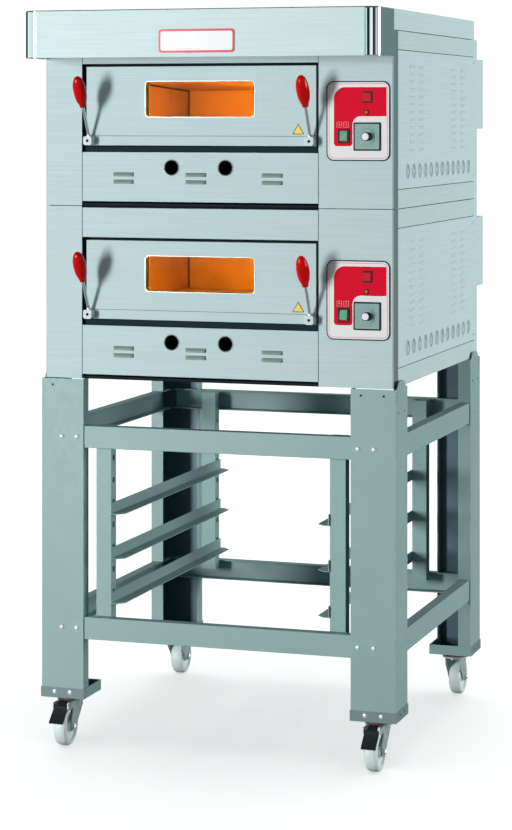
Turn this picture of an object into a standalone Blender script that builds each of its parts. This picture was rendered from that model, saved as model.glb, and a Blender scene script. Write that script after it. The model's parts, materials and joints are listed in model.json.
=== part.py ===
"""Two-deck gas pizza oven with a canopy hood, on a wheeled stand with a tray rack.

Units are metres. +Z is up, -Y is the side with the doors, and +X is to the right of someone
who faces the doors. The origin is on the floor, under the middle of the whole oven.
"""
import math

import bmesh
import bpy
from mathutils import Euler, Matrix, Vector

# ---------------------------------------------------------------- driving dimensions

GAP = 0.0003                  # air left between two pieces that touch on the real oven

OVEN_WIDTH = 0.950
OVEN_DEPTH = 0.933
PANEL_DEPTH = 0.893           # the side panels stop short of the back sheet
BACK_INSET = 0.0005           # the back sheet is this much narrower on each side
HOOD_DEPTH = 0.149
REAR_BOX_DEPTH = 0.094
DECK_HEIGHT = 0.455
STAND_HEIGHT = 0.970
TOP_COVER_HEIGHT = 0.054
DECK_FLOORS = {"lower": STAND_HEIGHT, "upper": STAND_HEIGHT + DECK_HEIGHT}
ROOF = STAND_HEIGHT + 2 * DECK_HEIGHT

FRONT = HOOD_DEPTH - (HOOD_DEPTH + OVEN_DEPTH + REAR_BOX_DEPTH) / 2   # y of the front panels
BACK = FRONT + OVEN_DEPTH
LEFT = -OVEN_WIDTH / 2
RIGHT = OVEN_WIDTH / 2

# front opening of a deck, x from the left side and z from the deck's floor
MOUTH_LEFT = LEFT + 0.103
MOUTH_RIGHT = LEFT + 0.752
MOUTH_CENTRE = (MOUTH_LEFT + MOUTH_RIGHT) / 2
MOUTH_BOTTOM = 0.012
SILL_BOTTOM = 0.1415
MOUTH_TOP = 0.373
CASING_SHEET = 0.002
SILL_DEPTH = 0.012
SILL_TOP = 0.156

DOOR_LEFT = MOUTH_LEFT + 0.0130
DOOR_RIGHT = MOUTH_RIGHT - 0.0055
DOOR_CENTRE = (DOOR_LEFT + DOOR_RIGHT) / 2
DOOR_BOTTOM = 0.1594
DOOR_TOP = 0.3656
DOOR_PROUD = 0.002
DOOR_THICKNESS = 0.030
DOOR_SHEET = 0.0025
DOOR_AXIS_UP = 0.0003         # the hinge axis is this far above the door's lower edge
WINDOW_SIZE = (0.299, 0.092)
WINDOW_CENTRE_UP = 0.280
WINDOW_RADIUS = 0.010
WINDOW_FRAME = 0.006
GLASS_THICKNESS = 0.005
GLASS_SETBACK = 0.006

LEVER_BLOCK = 0.024
LEVER_BLOCK_DEPTH = 0.025
LEVER_LEAN = math.radians(28.2)
LEVER_ROD_RADIUS = 0.004
LEVER_ROD_LENGTH = 0.088
LEVER_ROD_ROOT = 0.008        # how far the rod runs down into its block
LEVER_ROD_TIP = 0.020         # and up into its grip
GRIP_LENGTH = 0.088
GRIP_RADIUS = 0.0170

SIGHT_HOLE_RADIUS = 0.019
SIGHT_HOLE_OFFSET = 0.074
SIGHT_HOLE_UP = 0.102

CHAMBER_FRONT = 0.032
CHAMBER_BACK = 0.765
CHAMBER_WIDTH = 0.600
CHAMBER_BOTTOM = 0.169
CHAMBER_TOP = 0.348
CHAMBER_SHEET = 0.0025
SURROUND_MARGIN = 0.003       # air between the chamber's front plate and the mouth's sides
SURROUND_BOTTOM = 0.163
SURROUND_TOP = 0.385
STONE_THICKNESS = 0.018
STONE_MARGIN = 0.004

BURNER_RADIUS = 0.018
BURNER_START = 0.090
BURNER_END = 0.695
MANIFOLD_RADIUS = 0.012
MANIFOLD_END = RIGHT - 0.060

PANEL_CENTRE = (LEFT + 0.858, 0.2235)
PANEL_SIZE = (0.168, 0.203)
PANEL_RADIUS = 0.019
PANEL_SHEET = 0.002
THERMOSTAT_CENTRE = (LEFT + 0.882, 0.184)
THERMOSTAT_BEZEL = 0.072
THERMOSTAT_BODY = 0.058
THERMOSTAT_BODY_DEPTH = 0.045
BEZEL_HEIGHT = 0.003
ROCKER_CENTRE = (LEFT + 0.820, 0.185)
ROCKER_BEZEL = (0.030, 0.037)
ROCKER_BODY = (0.026, 0.033)
ROCKER_BODY_DEPTH = 0.026
ROCKER_POCKET = (0.021, 0.027)
ROCKER_SIZE = (0.0195, 0.0245)
ROCKER_PIVOT_DEPTH = 0.002    # behind the oven's front
ROCKER_TILT = math.radians(9)
ROCKER_CREST = 0.0095         # of its raised ends, its edges and its waist above the pivot
ROCKER_EDGE = 0.0085
ROCKER_WAIST = 0.0070
CONTROL_HOLE_MARGIN = 0.018   # casing cut-out: past the rocker's centre on the left
CONTROL_HOLE_HALF = 0.034     # and past the thermostat's centre on the other three sides
KNOB_SKIRT_RADIUS = 0.021
KNOB_GRIP_RADIUS = 0.013
KNOB_HEIGHT = 0.017
KNOB_SKIRT_HEIGHT = 0.003
KNOB_EDGE = 0.002

HOOD_SIDE_GROWTH = 0.002      # the hood is this much wider than the oven on each side
HOOD_HEIGHT = 0.123
HOOD_SHEET = 0.002
HOOD_CORNER = (0.036, 0.024)
REAR_BOX_WIDTH = 0.202
REAR_BOX_INSET = 0.005
REAR_BOX_BOTTOM = 0.200
REAR_BOX_TOP = 0.400
REAR_ENTRY_LEFT = 0.150       # the hole behind the rear box, from the oven's right side
REAR_ENTRY_RIGHT = 0.060
REAR_ENTRY_BOTTOM = 0.250
REAR_ENTRY_TOP = 0.350

STAND_WIDTH = 0.966
STAND_DEPTH = 0.940
STAND_LEAD = 0.009            # how far the stand reaches in front of the oven's panels
STAND_Y = FRONT - STAND_LEAD + STAND_DEPTH / 2
LEG_FACE = 0.118
LEG_LIP = 0.036
LEG_SHEET = 0.003
LEG_FOOT = 0.1305
TONGUE_WIDTH = 0.084
TONGUE_FROM_CORNER = 0.019
TONGUE_RISE = 0.018
TONGUE_RADIUS = 0.026
SLIT_WIDTH = 0.002
SLIT_DEPTH = 0.038
CAP_SIDE = 0.122
CAP_BOTTOM = 0.128
CAP_TOP = 0.155
CAP_SHEET = 0.0023

RAIL_HEIGHT = 0.058
RAIL_FLANGE = 0.030
RAIL_BOTTOMS = {"lower": 0.286, "upper": 0.789}
RAIL_LAP = 0.080

POST_WIDTH = 0.042
POST_DEPTH = 0.036
POST_BOTTOM = 0.322
POST_TOP = 0.843
POST_OUTER_X = LEFT + 0.133
POST_FRONT = FRONT + 0.025
POST_SHEET = 0.002
SLOT_SIZE = (0.012, 0.014)
SLOT_PITCH = 0.0588
SLOT_FIRST = 0.407
SLOT_COUNT = 7

RUNNER_HEIGHT = 0.030
RUNNER_FLANGE = 0.035
RUNNER_SHEET = 0.0025
RUNNER_OVERHANG = 0.006
RUNNER_CHAMFER = 0.020
RUNNER_BOTTOMS = {"lower": 0.378, "middle": 0.4955, "upper": 0.613}

WHEEL_RADIUS = 0.050
WHEEL_WIDTH = 0.034
WHEEL_BORE = 0.0065
WHEEL_DISH = 0.007
HUB_RADIUS = 0.014
HUB_FOOT_RADIUS = 0.019
AXLE_RADIUS = 0.005
CASTER_TRAIL = 0.037
CASTER_PLATE = (0.100, 0.085, 0.003)
RACE_RADIUS = 0.027
FORK_TOP = 0.1165
RACE_BOTTOM = FORK_TOP + GAP
FORK_CROWN = 0.004
FORK_CROWN_RADIUS = 0.034
FORK_BRIDGE_BACK = 0.022
FORK_BRIDGE_FRONT = 0.045
FORK_INNER = 0.040
FORK_SHEET = 0.0025
FORK_BOSS = 0.012
AXLE_OVERHANG = 0.004
PEDAL_PIVOT = (0.068, 0.106)  # trail distance from the swivel axis, height
PEDAL_REACH = 0.052
PEDAL_SLOPE = math.radians(42)
PEDAL_WIDTH = 0.038
PEDAL_THICKNESS = 0.005
PEDAL_TAB_REACH = 0.020
PEDAL_TAB_WIDTH = 0.025
PEDAL_PIN_RADIUS = 0.0035

# ---------------------------------------------------------------- scene and materials

for old in list(bpy.data.objects):
    bpy.data.objects.remove(old)

parts = bpy.data.collections.new("pizza_oven")
cutters = bpy.data.collections.new("cutters")
bpy.context.scene.collection.children.link(parts)
bpy.context.scene.collection.children.link(cutters)


def material(name, colour, roughness, metallic=0.0, alpha=1.0):
    made = bpy.data.materials.new(name)
    made.use_nodes = True
    shader = made.node_tree.nodes["Principled BSDF"]
    shader.inputs["Base Color"].default_value = (*colour, 1.0)
    shader.inputs["Roughness"].default_value = roughness
    shader.inputs["Metallic"].default_value = metallic
    shader.inputs["Alpha"].default_value = alpha
    return made


CASING_STEEL = material("casing_steel", (0.58, 0.65, 0.65), 0.38, 0.6)
HOOD_STEEL = material("hood_steel", (0.68, 0.74, 0.74), 0.35, 0.6)
STAND_PAINT = material("stand_paint", (0.30, 0.42, 0.41), 0.5, 0.3)
CHAMBER_STEEL = material("chamber_steel", (0.35, 0.30, 0.26), 0.6, 0.5)
STONE = material("hearth_stone", (0.62, 0.52, 0.40), 0.9)
BURNER_IRON = material("burner_iron", (0.08, 0.08, 0.08), 0.7, 0.8)
GLASS = material("door_glass", (0.85, 0.55, 0.30), 0.05, 0.0, 0.35)
LEVER_FINISH = material("lever_finish", (0.75, 0.03, 0.03), 0.2)
PANEL_WHITE = material("panel_white", (0.85, 0.86, 0.86), 0.4)
ROCKER_GREEN = material("rocker_green", (0.10, 0.55, 0.20), 0.3)
KNOB_BLACK = material("knob_black", (0.02, 0.02, 0.02), 0.35)
ZINC = material("zinc_plate", (0.62, 0.66, 0.67), 0.3, 0.9)
NYLON = material("nylon_wheel", (0.82, 0.84, 0.80), 0.5)
PEDAL_BLACK = material("pedal_black", (0.03, 0.035, 0.04), 0.5)

# ---------------------------------------------------------------- modelling helpers


def new_object(name, mesh, finish=None):
    made = bpy.data.objects.new(name, mesh)
    if finish is None:
        cutters.objects.link(made)
        made.hide_render = True
        made.display_type = "WIRE"
    else:
        parts.objects.link(made)
        mesh.materials.append(finish)
    return made


def box(name, low, high, finish=None):
    """A box between two corners; without a finish it is a cutter or a shape to be joined."""
    size = Vector(high) - Vector(low)
    shape = bmesh.new()
    bmesh.ops.create_cube(shape, size=1.0, matrix=Matrix.Diagonal((*size, 1.0)))
    mesh = bpy.data.meshes.new(name)
    shape.to_mesh(mesh)
    shape.free()
    made = new_object(name, mesh, finish)
    made.location = (Vector(high) + Vector(low)) / 2
    return made


def cylinder(name, radius, start, end, finish=None, segments=24):
    """A cylinder between two points on its axis."""
    start = Vector(start)
    along = Vector(end) - start
    shape = bmesh.new()
    bmesh.ops.create_cone(shape, cap_ends=True, segments=segments, radius1=radius,
                          radius2=radius, depth=along.length)
    mesh = bpy.data.meshes.new(name)
    shape.to_mesh(mesh)
    shape.free()
    mesh.shade_smooth()
    mesh.set_sharp_from_angle(angle=math.radians(40))
    made = new_object(name, mesh, finish)
    made.location = start + along / 2
    made.rotation_euler = along.to_track_quat("Z", "Y").to_euler()
    return made


def tray(name, low, high, open_side, sheet, finish=None):
    """A folded sheet box without the side that faces open_side."""
    size = Vector(high) - Vector(low)
    shape = bmesh.new()
    bmesh.ops.create_cube(shape, size=1.0, matrix=Matrix.Diagonal((*size, 1.0)))
    shape.normal_update()
    lid = [face for face in shape.faces if face.normal.dot(Vector(open_side)) > 0.9]
    bmesh.ops.delete(shape, geom=lid, context="FACES_ONLY")
    mesh = bpy.data.meshes.new(name)
    shape.to_mesh(mesh)
    shape.free()
    made = new_object(name, mesh, finish)
    made.location = (Vector(high) + Vector(low)) / 2
    thicken(made, sheet)
    return made


def thicken(made, sheet):
    """Gives an open surface its sheet thickness, behind the outer face."""
    solid = made.modifiers.new("sheet", "SOLIDIFY")
    solid.thickness = sheet
    solid.offset = -1.0
    solid.use_even_offset = True


def folded(name, fold_line, along, sheet, finish=None, outside_first=True):
    """A folded strip: fold_line is its outer line, swept along a straight vector."""
    line = list(fold_line) if outside_first else list(reversed(fold_line))
    shape = bmesh.new()
    rows = [[shape.verts.new(Vector(point) + offset) for point in line]
            for offset in (Vector((0, 0, 0)), Vector(along))]
    for near, far in zip(range(len(line) - 1), range(1, len(line))):
        shape.faces.new((rows[0][near], rows[0][far], rows[1][far], rows[1][near]))
    mesh = bpy.data.meshes.new(name)
    shape.to_mesh(mesh)
    shape.free()
    made = new_object(name, mesh, finish)
    thicken(made, sheet)
    return made


def plate(name, outline, thickness, centre, rotation, finish=None):
    """A flat outline in its own XY plane with the given thickness, centred on centre."""
    curve = bpy.data.curves.new(name + "_outline", "CURVE")
    curve.dimensions = "2D"
    curve.fill_mode = "BOTH"
    curve.extrude = thickness / 2
    line = curve.splines.new("POLY")
    line.points.add(len(outline) - 1)
    for point, (x, y) in zip(line.points, outline):
        point.co = (x, y, 0.0, 1.0)
    line.use_cyclic_u = True
    source = bpy.data.objects.new(name + "_outline", curve)
    cutters.objects.link(source)
    bpy.context.view_layer.update()
    evaluated = source.evaluated_get(bpy.context.evaluated_depsgraph_get())
    mesh = bpy.data.meshes.new_from_object(evaluated)
    mesh.name = name
    shape = bmesh.new()
    shape.from_mesh(mesh)
    bmesh.ops.remove_doubles(shape, verts=shape.verts, dist=0.00001)
    bmesh.ops.recalc_face_normals(shape, faces=shape.faces)
    shape.to_mesh(mesh)
    shape.free()
    bpy.data.objects.remove(source)
    bpy.data.curves.remove(curve)
    made = new_object(name, mesh, finish)
    made.location = centre
    made.rotation_euler = rotation
    return made


def turned(name, profile, closed, centre, rotation, finish=None, steps=24):
    """A profile of (radius, height) points, top to bottom, turned about its own Z axis."""
    count = len(profile)
    edges = [(first, first + 1) for first in range(count - 1)]
    if closed:
        edges.append((count - 1, 0))
    mesh = bpy.data.meshes.new(name)
    mesh.from_pydata([(radius, 0.0, height) for radius, height in profile], edges, [])
    made = new_object(name, mesh, finish)
    screw = made.modifiers.new("turn", "SCREW")
    screw.steps = steps
    screw.render_steps = steps
    screw.use_merge_vertices = True
    screw.merge_threshold = 0.00001
    made.location = centre
    made.rotation_euler = rotation
    return made


def combine(made, operation, *others):
    for other in others:
        change = made.modifiers.new(other.name, "BOOLEAN")
        change.operation = operation
        change.solver = "EXACT"
        change.object = other
    return made


def cut(made, *others):
    return combine(made, "DIFFERENCE", *others)


def weld(made, *others):
    return combine(made, "UNION", *others)


def rounded_rectangle(width, height, radius, steps=4):
    """Corner points of a rectangle about the origin with round corners, anticlockwise."""
    points = []
    for quarter, (side, end) in enumerate(((1, 1), (-1, 1), (-1, -1), (1, -1))):
        centre = (side * (width / 2 - radius), end * (height / 2 - radius))
        for step in range(steps + 1):
            angle = math.radians(90) * (quarter + step / steps)
            points.append((centre[0] + radius * math.cos(angle),
                           centre[1] + radius * math.sin(angle)))
    return points


def carry(pivot_name, place, *children):
    """Hangs moving pieces on an empty that lies on their joint's axis."""
    pivot = bpy.data.objects.new(pivot_name, None)
    parts.objects.link(pivot)
    pivot.location = place
    pivot.empty_display_size = 0.03
    for child in children:
        child.parent = pivot
        child.matrix_parent_inverse = Matrix.Translation(-Vector(place))
    return pivot


UPRIGHT = Euler((math.radians(90), 0, 0))     # turns an XY outline to face the front, -Y
SIDEWAYS = Euler((math.radians(90), 0, math.radians(90)))   # own X along +Y, own Y up

# ---------------------------------------------------------------- one oven deck


def build_casing(deck, floor):
    """Outer sheet box of a deck with its mouth, control cut-out and rear entry."""
    base = floor + GAP
    roof = floor + DECK_HEIGHT
    casing = box(f"{deck}_casing", (LEFT, FRONT, base), (RIGHT, FRONT + PANEL_DEPTH, roof),
                 CASING_STEEL)
    back = box(f"{deck}_casing_back",
               (LEFT + BACK_INSET, FRONT + PANEL_DEPTH - CASING_SHEET, base),
               (RIGHT - BACK_INSET, BACK, roof))
    hollow = box(f"{deck}_casing_hollow",
                 (LEFT + BACK_INSET + CASING_SHEET, FRONT + CASING_SHEET, base + CASING_SHEET),
                 (RIGHT - BACK_INSET - CASING_SHEET, BACK - CASING_SHEET,
                  roof - CASING_SHEET))
    mouth = box(f"{deck}_mouth",
                (MOUTH_LEFT, FRONT - 0.01, floor + MOUTH_BOTTOM),
                (MOUTH_RIGHT, FRONT + 0.01, floor + MOUTH_TOP))
    x, up = THERMOSTAT_CENTRE
    panel_hole = box(f"{deck}_panel_hole",
                     (ROCKER_CENTRE[0] - CONTROL_HOLE_MARGIN, FRONT - 0.01,
                      floor + up - CONTROL_HOLE_HALF),
                     (x + CONTROL_HOLE_HALF, FRONT + 0.01, floor + up + CONTROL_HOLE_HALF))
    rear_entry = box(f"{deck}_rear_entry",
                     (RIGHT - REAR_ENTRY_LEFT, BACK - 0.01, floor + REAR_ENTRY_BOTTOM),
                     (RIGHT - REAR_ENTRY_RIGHT, BACK + 0.01, floor + REAR_ENTRY_TOP))
    weld(casing, back)
    cut(casing, hollow, mouth, panel_hole, rear_entry)


def build_burner_cover(deck, floor):
    """Removable burner cover; its folded top edge is the sill under the door."""
    line = ((SILL_DEPTH, SILL_TOP), (SILL_DEPTH, SILL_BOTTOM), (0, SILL_BOTTOM),
            (0, MOUTH_BOTTOM + GAP), (SILL_DEPTH, MOUTH_BOTTOM + GAP))
    edge = 0.0005
    points = [(MOUTH_LEFT + edge, FRONT + back, floor + up) for back, up in line]
    width = MOUTH_RIGHT - MOUTH_LEFT - 2 * edge
    panel = folded(f"{deck}_burner_cover", points, (width, 0, 0), CASING_SHEET, CASING_STEEL)
    for side, shift in (("left", -SIGHT_HOLE_OFFSET), ("right", SIGHT_HOLE_OFFSET)):
        x = MOUTH_CENTRE + shift
        z = floor + SIGHT_HOLE_UP
        hole = cylinder(f"{deck}_sight_hole_{side}", SIGHT_HOLE_RADIUS,
                        (x, FRONT - 0.01, z), (x, FRONT + 0.01, z))
        cut(panel, hole)


def build_chamber(deck, floor):
    """Baking chamber liner with its front plate, the hearth stone, and the burner below."""
    inner = CHAMBER_WIDTH / 2
    front = FRONT + CHAMBER_FRONT
    chamber = tray(f"{deck}_chamber",
                   (MOUTH_CENTRE - inner - CHAMBER_SHEET, front, floor + CHAMBER_BOTTOM),
                   (MOUTH_CENTRE + inner + CHAMBER_SHEET, FRONT + CHAMBER_BACK,
                    floor + CHAMBER_TOP), (0, -1, 0), CHAMBER_SHEET, CHAMBER_STEEL)
    surround = box(f"{deck}_chamber_surround",
                   (MOUTH_LEFT + SURROUND_MARGIN, front, floor + SURROUND_BOTTOM),
                   (MOUTH_RIGHT - SURROUND_MARGIN, front + CHAMBER_SHEET,
                    floor + SURROUND_TOP))
    baking_floor = floor + CHAMBER_BOTTOM + CHAMBER_SHEET
    entry = box(f"{deck}_chamber_entry",
                (MOUTH_CENTRE - inner, front - 0.01, baking_floor),
                (MOUTH_CENTRE + inner, front + 0.01, floor + CHAMBER_TOP - CHAMBER_SHEET))
    weld(chamber, surround)
    cut(chamber, entry)
    reach = inner - STONE_MARGIN
    box(f"{deck}_hearth_stone",
        (MOUTH_CENTRE - reach, front + STONE_MARGIN, baking_floor + GAP),
        (MOUTH_CENTRE + reach, FRONT + CHAMBER_BACK - CHAMBER_SHEET - STONE_MARGIN,
         baking_floor + STONE_THICKNESS), STONE)

    z = floor + SIGHT_HOLE_UP
    tubes = [cylinder(f"{deck}_burner_tube_{side}", BURNER_RADIUS,
                      (MOUTH_CENTRE + shift, FRONT + BURNER_START, z),
                      (MOUTH_CENTRE + shift, FRONT + BURNER_END, z), segments=16)
             for side, shift in (("left", -SIGHT_HOLE_OFFSET), ("right", SIGHT_HOLE_OFFSET))]
    manifold_y = FRONT + BURNER_END - 2 * BURNER_RADIUS
    burner = cylinder(f"{deck}_burner", MANIFOLD_RADIUS,
                      (MOUTH_CENTRE - SIGHT_HOLE_OFFSET, manifold_y, z),
                      (MANIFOLD_END, manifold_y, z), BURNER_IRON, segments=12)
    weld(burner, *tubes)


def build_door(deck, floor):
    """Drop-down door pan with its window, glass and two levers, on one hinge axis."""
    front = FRONT - DOOR_PROUD
    door = tray(f"{deck}_door", (DOOR_LEFT, front, floor + DOOR_BOTTOM),
                (DOOR_RIGHT, front + DOOR_THICKNESS, floor + DOOR_TOP), (0, 1, 0), DOOR_SHEET,
                CASING_STEEL)
    window_z = floor + WINDOW_CENTRE_UP
    width, height = WINDOW_SIZE
    frame_depth = DOOR_THICKNESS - DOOR_SHEET / 2
    frame = plate(f"{deck}_window_frame",
                  rounded_rectangle(width + 2 * WINDOW_FRAME, height + 2 * WINDOW_FRAME,
                                    WINDOW_RADIUS + WINDOW_FRAME),
                  frame_depth, (DOOR_CENTRE, front + DOOR_THICKNESS - frame_depth / 2, window_z),
                  UPRIGHT)
    hole = plate(f"{deck}_window_hole", rounded_rectangle(width, height, WINDOW_RADIUS),
                 3 * DOOR_THICKNESS, (DOOR_CENTRE, FRONT, window_z), UPRIGHT)
    weld(door, frame)
    cut(door, hole)
    glass = plate(f"{deck}_door_glass",
                  rounded_rectangle(width - 2 * GAP, height - 2 * GAP, WINDOW_RADIUS - GAP),
                  GLASS_THICKNESS,
                  (DOOR_CENTRE, front + GLASS_SETBACK + GLASS_THICKNESS / 2, window_z),
                  UPRIGHT, GLASS)
    hinge = (DOOR_CENTRE, front, floor + DOOR_BOTTOM + DOOR_AXIS_UP)
    levers = [build_lever(f"{deck}_lever_{side}", x, front, hinge[2])
              for side, x in (("left", DOOR_LEFT + LEVER_BLOCK / 2),
                              ("right", DOOR_RIGHT - LEVER_BLOCK / 2))]
    carry(f"{deck}_door_hinge", hinge, door, glass, *levers)


def grip_profile():
    """Egg-shaped grip, from its round top down to its blunt neck, as (radius, height)."""
    points = [(0.0, GRIP_LENGTH)]
    steps = 10
    for step in range(1, steps):
        share = step / steps
        swell = (1 - abs(2 * share ** 0.92 - 1) ** 2.1) ** 0.5
        neck = 0.60 * share ** 3
        points.append((GRIP_RADIUS * max(swell, neck), GRIP_LENGTH * (1 - share)))
    points.append((GRIP_RADIUS * 0.50, 0.0))
    points.append((0.0, 0.0))
    return points


def build_lever(name, x, door_front, hinge_height):
    lever = box(name, (x - LEVER_BLOCK / 2, door_front - LEVER_BLOCK_DEPTH, hinge_height + GAP),
                (x + LEVER_BLOCK / 2, door_front - GAP, hinge_height + LEVER_BLOCK),
                LEVER_FINISH)
    lean = Vector((0, -math.sin(LEVER_LEAN), math.cos(LEVER_LEAN)))
    root = Vector((x, door_front - LEVER_BLOCK_DEPTH / 2, hinge_height + LEVER_BLOCK))
    rod = cylinder(name + "_rod", LEVER_ROD_RADIUS, root - lean * LEVER_ROD_ROOT,
                   root + lean * (LEVER_ROD_LENGTH + LEVER_ROD_TIP), segments=12)
    grip = turned(name + "_grip", grip_profile(), False, root + lean * LEVER_ROD_LENGTH,
                  Euler((LEVER_LEAN, 0, 0)), steps=16)
    return weld(lever, rod, grip)


def build_controls(deck, floor):
    """Control plate with the thermostat and the rocker's housing, rocker and knob."""
    face = FRONT - GAP - PANEL_SHEET
    panel = plate(f"{deck}_control_panel", rounded_rectangle(*PANEL_SIZE, PANEL_RADIUS),
                  PANEL_SHEET,
                  (PANEL_CENTRE[0], face + PANEL_SHEET / 2, floor + PANEL_CENTRE[1]),
                  UPRIGHT, PANEL_WHITE)
    x, up = THERMOSTAT_CENTRE
    bezel = plate(f"{deck}_thermostat_bezel",
                  rounded_rectangle(THERMOSTAT_BEZEL, THERMOSTAT_BEZEL, 0.003, 2),
                  BEZEL_HEIGHT, (x, face - BEZEL_HEIGHT / 2 + 0.0005, floor + up), UPRIGHT)
    half = THERMOSTAT_BODY / 2
    body = box(f"{deck}_thermostat_body", (x - half, face + 0.001, floor + up - half),
               (x + half, FRONT + THERMOSTAT_BODY_DEPTH, floor + up + half))
    rocker_x, rocker_up = ROCKER_CENTRE
    rocker_z = floor + rocker_up
    housing = plate(f"{deck}_rocker_bezel", rounded_rectangle(*ROCKER_BEZEL, 0.002, 2),
                    BEZEL_HEIGHT, (rocker_x, face - BEZEL_HEIGHT / 2 + 0.0005, rocker_z), UPRIGHT)
    width, height = ROCKER_BODY
    switch_body = box(f"{deck}_rocker_body",
                      (rocker_x - width / 2, face + 0.001, rocker_z - height / 2),
                      (rocker_x + width / 2, FRONT + ROCKER_BODY_DEPTH, rocker_z + height / 2))
    width, height = ROCKER_POCKET
    pocket = box(f"{deck}_rocker_pocket",
                 (rocker_x - width / 2, face - 0.02, rocker_z - height / 2),
                 (rocker_x + width / 2, FRONT + ROCKER_BODY_DEPTH - 0.006,
                  rocker_z + height / 2))
    weld(panel, bezel, body, housing, switch_body)
    cut(panel, pocket)
    build_rocker(deck, (rocker_x, FRONT + ROCKER_PIVOT_DEPTH, rocker_z))
    knob_y = face - BEZEL_HEIGHT
    profile = ((0, KNOB_HEIGHT), (KNOB_GRIP_RADIUS - KNOB_EDGE, KNOB_HEIGHT),
               (KNOB_GRIP_RADIUS, KNOB_HEIGHT - KNOB_EDGE),
               (KNOB_GRIP_RADIUS, KNOB_SKIRT_HEIGHT + KNOB_EDGE),
               (KNOB_SKIRT_RADIUS, KNOB_SKIRT_HEIGHT), (KNOB_SKIRT_RADIUS, 0), (0, 0))
    knob = turned(f"{deck}_thermostat_knob", profile, False, (x, knob_y, floor + up), UPRIGHT,
                  KNOB_BLACK)
    carry(f"{deck}_knob_axis", (x, knob_y, floor + up), knob)


def build_rocker(deck, pivot):
    """Rocker lens: a shallow vee seen from the side, tilted about its cross pin."""
    half = ROCKER_SIZE[1] / 2
    outline = [(-half, 0.0), (half, 0.0), (half, ROCKER_EDGE), (half * 0.75, ROCKER_CREST),
               (0.0, ROCKER_WAIST), (-half * 0.75, ROCKER_CREST), (-half, ROCKER_EDGE)]
    own_axes = Matrix(((0, 0, 1), (0, -1, 0), (1, 0, 0)))   # outline's x up, its y to the front
    tilted = Matrix.Rotation(-ROCKER_TILT, 3, "X") @ own_axes
    rocker = plate(f"{deck}_rocker_switch", outline, ROCKER_SIZE[0], pivot, tilted.to_euler(),
                   ROCKER_GREEN)
    carry(f"{deck}_rocker_axis", pivot, rocker)


def build_rear_box(deck, floor):
    """Sheet cover over the gas and electric entry behind the control column."""
    tray(f"{deck}_rear_box",
         (RIGHT - REAR_BOX_INSET - REAR_BOX_WIDTH, BACK + GAP, floor + REAR_BOX_BOTTOM),
         (RIGHT - REAR_BOX_INSET, BACK + REAR_BOX_DEPTH, floor + REAR_BOX_TOP),
         (0, -1, 0), CASING_SHEET, CASING_STEEL)


def build_hood():
    """Canopy over the doors: top, front and two ends, with round front corners."""
    half = OVEN_WIDTH / 2 + HOOD_SIDE_GROWTH
    depth = HOOD_DEPTH - GAP
    across, back = HOOD_CORNER
    steps = 6
    corner = [(half - across + across * math.sin(math.radians(90) * step / steps),
               FRONT - HOOD_DEPTH + back * (1 - math.cos(math.radians(90) * step / steps)))
              for step in range(steps + 1)]
    right_half = corner + [(half, FRONT - HOOD_DEPTH + depth)]
    plan = [(-x, y) for x, y in reversed(right_half)] + right_half
    top = ROOF + TOP_COVER_HEIGHT
    shape = bmesh.new()
    upper = [shape.verts.new((x, y, top)) for x, y in plan]
    lower = [shape.verts.new((x, y, top - HOOD_HEIGHT)) for x, y in plan]
    shape.faces.new(upper)
    for near, far in zip(range(len(plan) - 1), range(1, len(plan))):
        shape.faces.new((lower[near], lower[far], upper[far], upper[near]))
    mesh = bpy.data.meshes.new("hood")
    shape.to_mesh(mesh)
    shape.free()
    hood = new_object("hood", mesh, HOOD_STEEL)
    thicken(hood, HOOD_SHEET)


def build_top_cover():
    tray("top_cover", (LEFT, FRONT, ROOF + GAP),
         (RIGHT, FRONT + PANEL_DEPTH, ROOF + TOP_COVER_HEIGHT), (0, 0, -1), CASING_SHEET,
         CASING_STEEL)


# ---------------------------------------------------------------- stand and tray rack


def corner_point(side, end, inward_x=0.0, inward_y=0.0):
    """A point at a stand corner, moved in from the two outer faces."""
    return (side * (STAND_WIDTH / 2 - inward_x), STAND_Y + end * (STAND_DEPTH / 2 - inward_y))


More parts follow.
